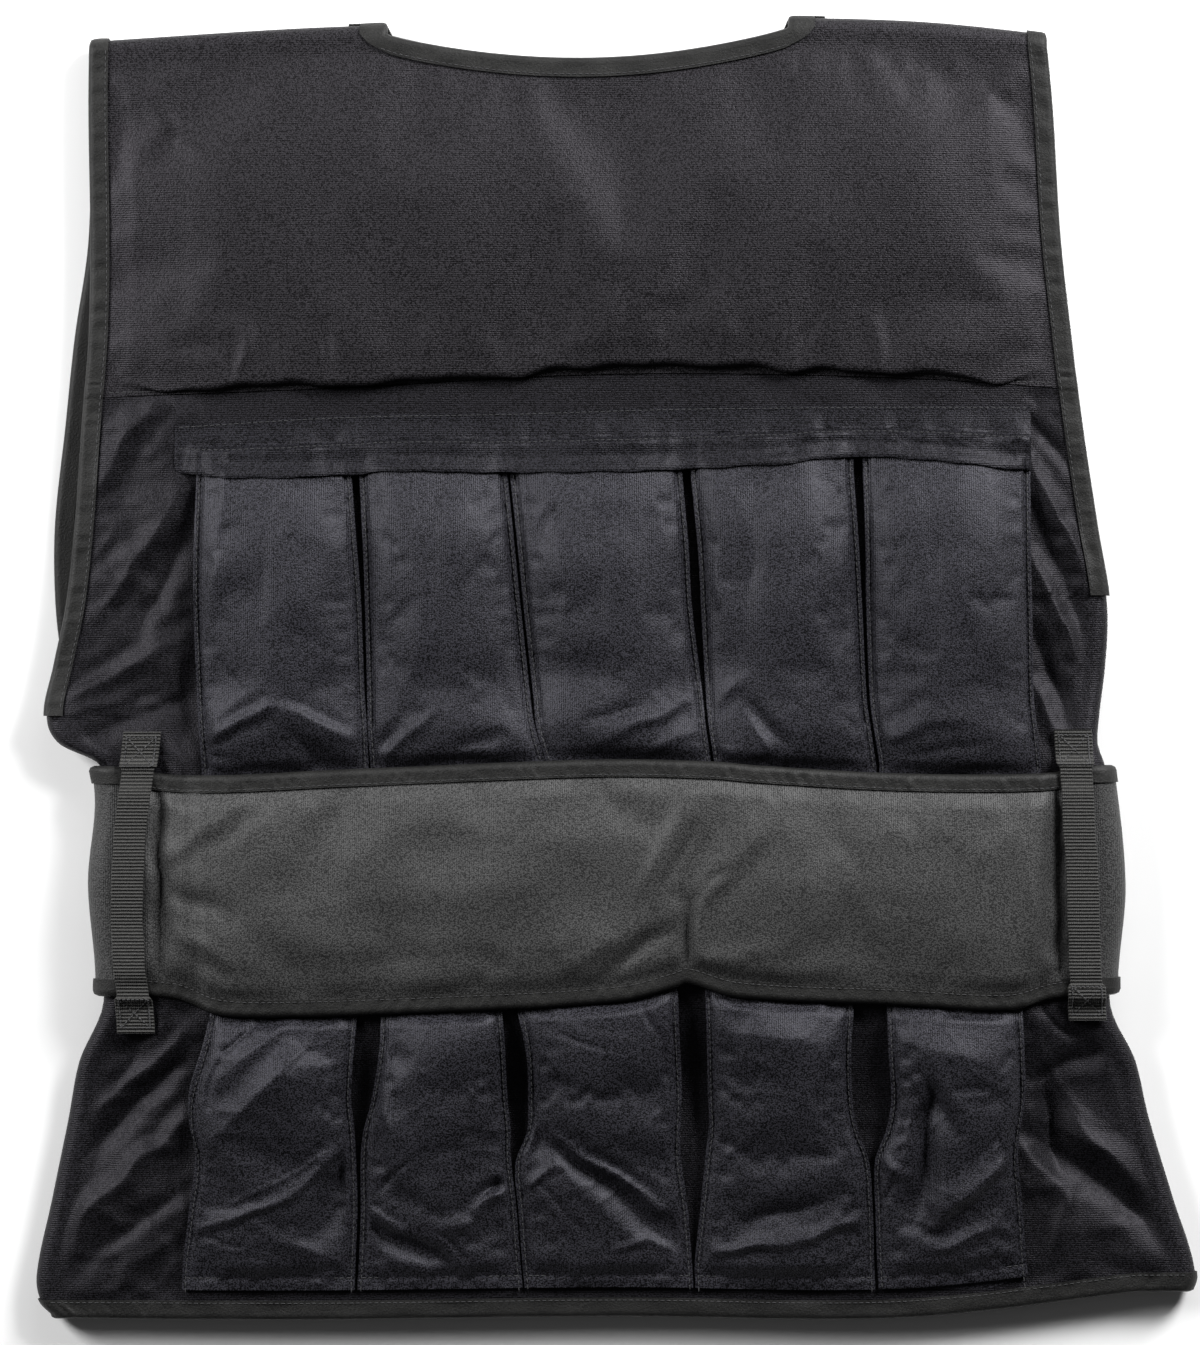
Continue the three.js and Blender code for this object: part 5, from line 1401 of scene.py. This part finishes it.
belt_outer, belt_inner = belt_lattice()
BELT_HELD = BELT_BACK_FROM + 6
belt_face = (slice(BELT_HELD, -BELT_HELD), slice(BELT_ROWS[0], -BELT_ROWS[2]))
belt_outer[belt_face] += settle([belt_outer[belt_face]], 5.0, 1.2, 0.004, 1.5, 3.0)[0]
belt = slab("belt_cloth", belt_outer, belt_inner)
edge_rows = np.arange(TAPE_CELLS + 1)
belt_binding_bottom, belt_binding_top = (
    tape("belt_tape_" + end, [(belt_outer[:, rows], belt_inner[:, rows])], False, seed)
    for end, rows, seed in (("bottom", edge_rows, 55), ("top", -1 - edge_rows, 56))
)


# The webbing loops over the belt
def belt_surface(x, y):
    """The belt's outer face with its tapes, or the back's beyond it."""
    outer = belt_back_points(x, y)[0][..., 2] + TAPE_ROOM
    on_belt = (y > belt_foot(x) - 1.5) & (y < belt_head(x) + 1.5)
    return np.where(on_belt, outer, back_over(x, y) + np.maximum(margin_relief(x, y), 0))


WEBBING_OUTLINE = (
    (-1, 0.5), (-0.97, 0.92), (-0.9, 1), (-0.45, 1.03), (0, 1.04), (0.45, 1.03), (0.9, 1), (0.97, 0.92),
    (1, 0.5), (0.97, 0.08), (0.9, 0), (0, 0), (-0.9, 0), (-0.97, 0.08),
)


def webbing_loop(loop):
    """A webbing loop that lies over the belt, and the line along its top."""
    (hx, hy), (mx, my), (fx, fy) = (place(p) for p in (loop.head, loop.middle, loop.foot))
    across = curve((fy, my, hy), (fx, mx, hx))
    y = np.linspace(fy, hy, 150)
    offsets = np.linspace(-WEBBING_WIDTH / 2, WEBBING_WIDTH / 2, 15)
    under = belt_surface(across(y)[None] + offsets[:, None], y[None] + 0 * offsets[:, None])
    highest = under.max(axis=0)
    reach = 4
    padded = np.pad(highest, reach, mode="edge")
    dilated = np.max([padded[k : k + len(y)] for k in range(2 * reach + 1)], axis=0)
    weights = np.hanning(2 * reach + 1)
    rest = np.convolve(np.pad(dilated, reach, mode="edge"), weights / weights.sum(), mode="valid")
    seat = rest + 0.35
    sway = 0.35 * ripples(0 * y, y, 26, 111)
    outline = []
    patch = smooth((fy + 19 - y) / 2) + smooth((y - hy + 19) / 2)
    half = WEBBING_WIDTH / 2 - 1.5 * (1 - patch)
    thick = WEBBING * (1 + 0.75 * patch)
    for u, v in WEBBING_OUTLINE:
        crown = 0.25 * (1 - u * u)
        outline.append(points(across(y) + sway + u * half, y, seat + v * thick + crown * (v > 0.5)))
    piece = loft(loop.name + "_webbing", np.stack(outline, axis=1), crease=40)
    return piece, points(across(y) + sway, y, seat + 1.04 * thick + 0.15)


made_loops = [webbing_loop(loop) for loop in LOOPS]
webbing_loops = [piece for piece, _ in made_loops]
loop_tops = {loop.name: top for loop, (_, top) in zip(LOOPS, made_loops)}


# Finishes
class Value:
    """A socket of a material, so that shader maths reads as an expression."""

    def __init__(self, finish, socket):
        self.finish = finish
        self.socket = socket

    def maths(self, operation, *others):
        values = {k: v for k, v in enumerate((self, *others))}
        return self.finish.node("ShaderNodeMath", {"operation": operation}, values)

    def __add__(self, other):
        return self.maths("ADD", other)

    def __sub__(self, other):
        return self.maths("SUBTRACT", other)

    def __mul__(self, other):
        return self.maths("MULTIPLY", other)

    def __rsub__(self, other):
        return self.finish.node("ShaderNodeMath", {"operation": "SUBTRACT"}, {0: other, 1: self})

    __radd__ = __add__
    __rmul__ = __mul__

    def above(self, low, high):
        """0 below low and 1 above high."""
        settings = {"interpolation_type": "SMOOTHSTEP"}
        sockets = {"Value": self, "From Min": low, "From Max": high}
        return self.finish.node("ShaderNodeMapRange", settings, sockets)


class Finish:
    """A material that is being made."""

    def __init__(self, name):
        self.material = bpy.data.materials.new(name)
        self.material.use_nodes = True
        self.tree = self.material.node_tree
        self.tree.nodes.clear()
        self.output = self.tree.nodes.new("ShaderNodeOutputMaterial")

    def node(self, kind, settings=None, sockets=None, out=0):
        """A node of a type, its settings first, then its sockets' values or links."""
        made = self.tree.nodes.new(kind)
        for key, value in (settings or {}).items():
            setattr(made, key, value)
        for key, value in (sockets or {}).items():
            if isinstance(value, Value):
                self.tree.links.new(value.socket, made.inputs[key])
            else:
                made.inputs[key].default_value = value
        return Value(self, made.outputs[out])

    def coordinates(self):
        return self.node("ShaderNodeTexCoord", out="Object")

    def noise(self, at, scale, detail=2.0, roughness=0.5):
        sockets = {"Vector": at, "Scale": scale, "Detail": detail, "Roughness": roughness}
        return self.node("ShaderNodeTexNoise", None, sockets)

    def stretched(self, at, scale):
        return self.node("ShaderNodeMapping", None, {"Vector": at, "Scale": scale})

    def bands(self, at, scale, direction, distortion=0.0):
        settings = {"wave_type": "BANDS", "bands_direction": direction}
        sockets = {"Vector": at, "Scale": scale, "Distortion": distortion}
        sockets["Detail"] = 1.0
        return self.node("ShaderNodeTexWave", settings, sockets)

    def blended(self, factor, first, second):
        settings = {"data_type": "RGBA"}
        return self.node("ShaderNodeMix", settings, {0: factor, 6: (*first, 1), 7: (*second, 1)}, out=2)

    def bump(self, height, distance, strength=1.0):
        sockets = {"Height": height, "Distance": distance, "Strength": strength}
        return self.node("ShaderNodeBump", None, sockets)

    def done(self, colour, roughness, normal, sheen=0.0, specular=0.36, tint=(1, 1, 1)):
        sockets = {
            "Base Color": colour,
            "Roughness": roughness,
            "Normal": normal,
            "Sheen Weight": sheen,
            "Sheen Roughness": 0.45,
            "Specular IOR Level": specular,
            "Specular Tint": (*tint, 1),
        }
        shader = self.node("ShaderNodeBsdfPrincipled", None, sockets)
        self.tree.links.new(shader.socket, self.output.inputs["Surface"])
        return self.material


def nylon(name, dark, light, ribs, tint, specular=0.27):
    """Packcloth: a fine speckled weave with faint ribs."""
    finish = Finish(name)
    at = finish.coordinates()
    grain = finish.noise(at, 1250, 1, 0.5)
    scale = (560, 1500, 560) if ribs == "X" else (1500, 560, 560)
    threads = finish.noise(finish.stretched(at, scale), 1.0, 2)
    cord = finish.bands(at, 290, ribs, 1.5)
    patches = finish.noise(at, 22, 2, 0.5)
    speckle = grain.above(0.36, 0.64) * 0.8 + threads * 0.3 + (patches - 0.5) * 0.12 + cord * 0.06
    colour = finish.blended(speckle.above(0.28, 0.85), dark, light)
    roughness = 0.5 + (patches - 0.5) * 0.05 + (grain - 0.5) * 0.2
    weave = grain * 0.8 + threads * 0.3 + cord * 0.25
    return finish.done(colour, roughness, finish.bump(weave, 0.00034, 0.9), 0.01, specular, tint)


def binding_tape():
    """Woven tape, matte, with fine cross threads."""
    finish = Finish("binding tape, dark olive charcoal")
    at = finish.coordinates()
    grain = finish.noise(at, 1300, 2, 0.6)
    patches = finish.noise(at, 60, 2)
    threads = finish.noise(finish.stretched(at, (900, 900, 400)), 1.0, 2)
    speckle = (grain * 0.6 + patches * 0.4).above(0.25, 0.8)
    colour = finish.blended(speckle, (0.0005, 0.0005, 0.0005), (0.018, 0.0178, 0.0169))
    normal = finish.bump(grain * 0.5 + threads * 0.6, 0.0004, 0.9)
    return finish.done(colour, 0.58 + (grain - 0.5) * 0.2, normal, 0.01, 0.3)


def webbing():
    """Woven webbing: fine ribs straight across the strap."""
    finish = Finish("webbing, dark olive grey")
    at = finish.coordinates()
    ribs = finish.bands(at, 185, "Y", 0.3)
    grain = finish.noise(at, 1200, 2, 0.6)
    rows = finish.bands(at, 300, "X", 0.8)
    speckle = (ribs * 0.5 + grain * 0.5).above(0.2, 0.85)
    colour = finish.blended(speckle, (0.0003, 0.0003, 0.0003), (0.055, 0.054, 0.051))
    normal = finish.bump(ribs + grain * 0.5 + rows * 0.35, 0.0006, 0.9)
    return finish.done(colour, 0.66 + (grain - 0.5) * 0.2, normal, 0.02, 0.35)


def thread():
    finish = Finish("thread, black")
    grain = finish.noise(finish.coordinates(), 2500, 1)
    colour = finish.blended(grain, (0.01, 0.01, 0.011), (0.06, 0.06, 0.063))
    return finish.done(colour, 0.5 + grain * 0.1, finish.bump(grain, 0.0001), 0.1)


BLACK = (0.0, 0.0, 0.0)
# The shell, yoke, pocket and flap finishes are one black nylon cloth. Their tones differ only to stand in
# for the light and shade each piece gets, so the darker shell, yoke and flap copies are painted shade next
# to the pocket copy.
FINISHES = {
    # The shell copy is painted shade: its light tone and specular are set lower than the pocket copy's, so
    # the margins, the skirts and the strip under the yoke's lip come out dark.
    "shell": nylon("shell nylon, black", BLACK, (0.008, 0.0077, 0.0096), "Y", (0.94, 0.9, 1.0), 0.21),
    # The yoke copy is painted shade as well: the same nylon, darker than the pocket copy and lighter than
    # the shell copy.
    "yoke": nylon("yoke nylon, black", BLACK, (0.016, 0.0152, 0.0172), "Y", (0.95, 0.9, 1.0), 0.25),
    "pocket": nylon(
        "pocket nylon, black", (0.0, 0.0, 0.0001), (0.021, 0.0205, 0.0258), "X", (0.9, 0.89, 1.0)
    ),
    # The flap copy is painted shade: the pockets' own cloth, made darker so the flap reads as lying in the
    # shadow under the yoke's lip.
    "flap": nylon("pocket flap nylon, black", BLACK, (0.012, 0.0117, 0.0148), "Y", (0.92, 0.9, 1.0), 0.21),
    "belt": nylon(
        "belt nylon, charcoal", (0.014, 0.014, 0.0141), (0.048, 0.048, 0.0481), "X", (1, 1, 1), 0.3
    ),
    "tape": binding_tape(),
    "webbing": webbing(),
    "thread": thread(),
}


# Stitches
def stitch_tree(material):
    """Lays a thread's stitches end to end along every line of a mesh."""
    tree = bpy.data.node_groups.new("stitches along a seam", "GeometryNodeTree")
    face = tree.interface
    face.new_socket("Seams", in_out="INPUT", socket_type="NodeSocketGeometry")
    for name in ("Pitch", "Stitch length", "Thread"):
        face.new_socket(name, in_out="INPUT", socket_type="NodeSocketFloat")
    face.new_socket("Stitches", in_out="OUTPUT", socket_type="NodeSocketGeometry")

    def node(kind, settings=None, sockets=None):
        made = tree.nodes.new(kind)
        for key, value in (settings or {}).items():
            setattr(made, key, value)
        for key, value in (sockets or {}).items():
            if isinstance(value, bpy.types.NodeSocket):
                tree.links.new(value, made.inputs[key])
            else:
                made.inputs[key].default_value = value
        return made

    given = node("NodeGroupInput")
    lines = node("GeometryNodeMeshToCurve", None, {"Mesh": given.outputs["Seams"]})
    spaced_out = node(
        "GeometryNodeResampleCurve", {"mode": "LENGTH"},
        {"Curve": lines.outputs[0], "Length": given.outputs["Pitch"]},
    )
    ball = node("GeometryNodeMeshUVSphere", None, {"Segments": 6, "Rings": 5, "Radius": 0.5})
    size = node(
        "ShaderNodeCombineXYZ", None,
        {"X": given.outputs["Thread"], "Y": given.outputs["Thread"], "Z": given.outputs["Stitch length"]},
    )
    stitch = node("GeometryNodeTransform", None, {"Geometry": ball.outputs[0], "Scale": size.outputs[0]})
    along = node("GeometryNodeInputTangent")
    turn = node("FunctionNodeAlignRotationToVector", {"axis": "Z"}, {"Vector": along.outputs[0]})
    placed = node(
        "GeometryNodeInstanceOnPoints", None,
        {"Points": spaced_out.outputs[0], "Instance": stitch.outputs[0], "Rotation": turn.outputs[0]},
    )
    real = node("GeometryNodeRealizeInstances", None, {"Geometry": placed.outputs[0]})
    dressed = node("GeometryNodeSetMaterial", None, {"Geometry": real.outputs[0], "Material": material})
    node("NodeGroupOutput", None, {"Stitches": dressed.outputs[0]})
    return tree


def stitched(name, seams, tree, pitch, length, width):
    """One mesh of stitches along every seam, a list of lines of points."""
    cloud, edges = [], []
    for seam in seams:
        edges += [(len(cloud) + k, len(cloud) + k + 1) for k in range(len(seam) - 1)]
        cloud += to_frame(seam).tolist()
    mesh = bpy.data.meshes.new(name + "_lines")
    mesh.from_pydata(cloud, edges, [])
    lines = bpy.data.objects.new(name + "_lines", mesh)
    link(lines)
    modifier = lines.modifiers.new("stitches", "NODES")
    modifier.node_group = tree
    sizes = {"Pitch": pitch, "Stitch length": length, "Thread": width}
    for socket in tree.interface.items_tree:
        if socket.in_out == "INPUT" and socket.name in sizes:
            modifier[socket.identifier] = sizes[socket.name] * MM
    view = bpy.context.evaluated_depsgraph_get()
    made = bpy.data.meshes.new_from_object(lines.evaluated_get(view))
    made.shade_smooth()
    piece = bpy.data.objects.new(name, made)
    link(piece)
    lines.modifiers.clear()
    bpy.data.objects.remove(lines)
    return piece


def pocket_seams(pocket):
    """A pocket's stitch lines: inside its two flanges, and across the foot of a lower one."""
    foot, head = pocket_ends(pocket)
    centre = pocket_middle(pocket)
    y = mix(foot(centre), head(centre), np.linspace(0, 1, 120))
    shown = (y > belt_head(centre) + 2) & (y < flap_foot(centre)) if pocket.bank == "upper" else (
        y < belt_foot(centre) - 2
    )
    y = y[shown]
    seams = []
    for side, way in (("left", 1), ("right", -1)):
        x = pocket_side(pocket, side)(y) + way * 1.5
        seams.append(points(x, y, back_over(x, y) + GAP + pocket_height(pocket, x, y) + 0.1))
    if pocket.bank == "lower":
        left, right = pocket_side(pocket, "left")(y[0]), pocket_side(pocket, "right")(y[0])
        x = np.linspace(left + 3, right - 3, 60)
        low = pocket_foot(x) + 6
        seams.append(points(x, low, back_over(x, low) + GAP + pocket_height(pocket, x, low) + 0.1))
    return seams


def patch_seams(loop, end):
    """The boxed cross that sews one end of a webbing loop down."""
    top = loop_tops[loop.name]
    middle = top[-1, 1] - 10 if end == "head" else top[0, 1] + 10
    half = WEBBING_WIDTH / 2 - 2.2
    corners = [(-half, -7.2), (half, -7.2), (half, 7.2), (-half, 7.2)]
    order = [0, 1, 2, 3, 0, 2, 1, 3]
    path = []
    for a, b in zip(order, order[1:]):
        for t in np.linspace(0, 1, 12):
            out = mix(corners[a][0], corners[b][0], t)
            y = middle + mix(corners[a][1], corners[b][1], t)
            x, z = (np.interp(y, top[:, 1], top[:, axis]) for axis in (0, 2))
            path.append((x + out, y, z + 0.2 * (1 - (out / half) ** 2)))
    return [np.array(path)]


def shell_seams():
    """The stitch lines of the tapes, of the yoke's seam and of the flap."""
    seat = np.array([0, 0, TAPE_ROOM + 0.15])
    column = ROLLS + TAPE_CELLS - 1
    yoke_edge = yoke_outer[:, :-ROLLS]
    neck = slice(NECK_FROM, NECK_FROM + NECK_CELLS)
    seams = [
        back_outer[ROLLS:-ROLLS, TAPE_CELLS - 1] + seat,
        belt_outer[BELT_SHOWN, TAPE_CELLS - 1] + seat,
        belt_outer[BELT_SHOWN, -TAPE_CELLS] + seat,
        yoke_edge[column] + seat,
        yoke_edge[-1 - column] + seat,
    ]
    for edge, underarm in ((back_outer[column], LEFT_UNDERARM), (back_outer[-1 - column], RIGHT_UNDERARM)):
        seams.append(edge[edge[:, 1] > underarm + 4] + seat)
    seams.append(yoke_edge[neck, -TAPE_CELLS] + seat)
    seams.append(yoke_outer[ROLLS + 8 : -ROLLS - 8, 2] + np.array([0, 0, 0.1]))
    return seams + [flap_over[3:-3, row] + np.array([0, 0, 0.05]) for row in FLAP_SEAM_ROWS]


sewing = stitch_tree(FINISHES["thread"])
pocket_lines = [seam for pocket in POCKETS for seam in pocket_seams(pocket)]
loop_lines = [seam for loop in LOOPS for end in ("head", "foot") for seam in patch_seams(loop, end)]
stitching = stitched("stitching", shell_seams() + pocket_lines, sewing, 3.1, 2.3, 0.5)
loop_stitching = stitched("loop_stitching", loop_lines, sewing, 2.2, 1.8, 0.8)


# What each piece is, and what it stands for
def declare(piece, finish, slot, *nodes):
    if finish:
        piece.data.materials.append(FINISHES[finish])
    if nodes:
        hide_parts(*nodes)
    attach(piece, "root")


declare(back_panel, "shell", "shell_nylon", "back_panel")
declare(front_panel, "shell", "shell_nylon", "front_panel")
declare(yoke, "yoke", "yoke_nylon", "yoke")
for pocket, cloth in zip(POCKETS, pocket_cloths):
    declare(cloth, "pocket", "pocket_nylon", pocket.name)
# The flap takes the pockets' nylon slot but the darker flap copy of it, which is painted shade.
declare(pocket_flap, "flap", "pocket_nylon", "pocket_flap")
declare(belt, "belt", "belt_nylon", "belt")
declare(hem_binding, "tape", "binding_tape", "hem_binding")
declare(armhole_binding_left, "tape", "binding_tape", "armhole_binding_left")
declare(armhole_binding_right, "tape", "binding_tape", "armhole_binding_right")
declare(neck_binding, "tape", "binding_tape", "neck_binding")
declare(belt_binding_bottom, "tape", "binding_tape", "belt_binding_bottom")
declare(belt_binding_top, "tape", "binding_tape", "belt_binding_top")
for loop, strap in zip(LOOPS, webbing_loops):
    declare(strap, "webbing", "webbing", loop.name)
declare(stitching, None, "binding_tape")
declare(loop_stitching, None, "webbing")


# The studio
def floor():
    mesh = bpy.data.meshes.new("floor")
    corners = [(-3.0, -3.0, 0), (3.0, -3.0, 0), (3.0, 3.0, 0), (-3.0, 3.0, 0)]
    mesh.from_pydata(corners, [], [(0, 1, 2, 3)])
    plane = bpy.data.objects.new("floor", mesh)
    link(plane)
    finish = Finish("floor, white")
    speck = finish.noise(finish.coordinates(), 40, 2)
    colour = finish.blended(speck, (0.93, 0.93, 0.93), (0.95, 0.95, 0.95))
    plane.data.materials.append(finish.done(colour, 0.9, finish.bump(speck, 0.00001), 0, 0.2))


def soft_box(name, at, aim, size, power):
    light = bpy.data.lights.new(name, "AREA")
    light.shape = "RECTANGLE"
    light.size, light.size_y = size
    light.energy = power
    lamp = bpy.data.objects.new(name, light)
    lamp.location = at
    lamp.rotation_euler = (Vector(aim) - Vector(at)).to_track_quat("-Z", "Y").to_euler()
    link(lamp)


floor()
soft_box("soft box right", (1.5, 1.55, 1.25), (0, 0, 0), (0.8, 1.0), 106)
soft_box("soft box left", (-1.75, 0.85, 1.1), (0, 0, 0), (0.7, 1.2), 60)
soft_box("soft box overhead", (0.3, 2.0, 1.5), (0, 0, 0), (1.4, 0.6), 10)

world = bpy.data.worlds.new("studio")
world.use_nodes = True
world.node_tree.nodes["Background"].inputs["Color"].default_value = (1, 1, 1, 1)
world.node_tree.nodes["Background"].inputs["Strength"].default_value = 0.05
bpy.context.scene.world = world

FRAME_HEIGHT = 0.6725
CAMERA_HEIGHT = 3.02
VEST_PLANE = 0.02
camera_data = bpy.data.cameras.new("camera")
camera_data.sensor_width = 36
camera_data.sensor_height = 36
camera_data.lens = 36 * (CAMERA_HEIGHT - VEST_PLANE) / FRAME_HEIGHT
camera = bpy.data.objects.new("camera", camera_data)
camera.location = (-0.00922, -0.00323, CAMERA_HEIGHT)
link(camera)
bpy.context.scene.camera = camera
bpy.context.scene.view_settings.view_transform = "Standard"
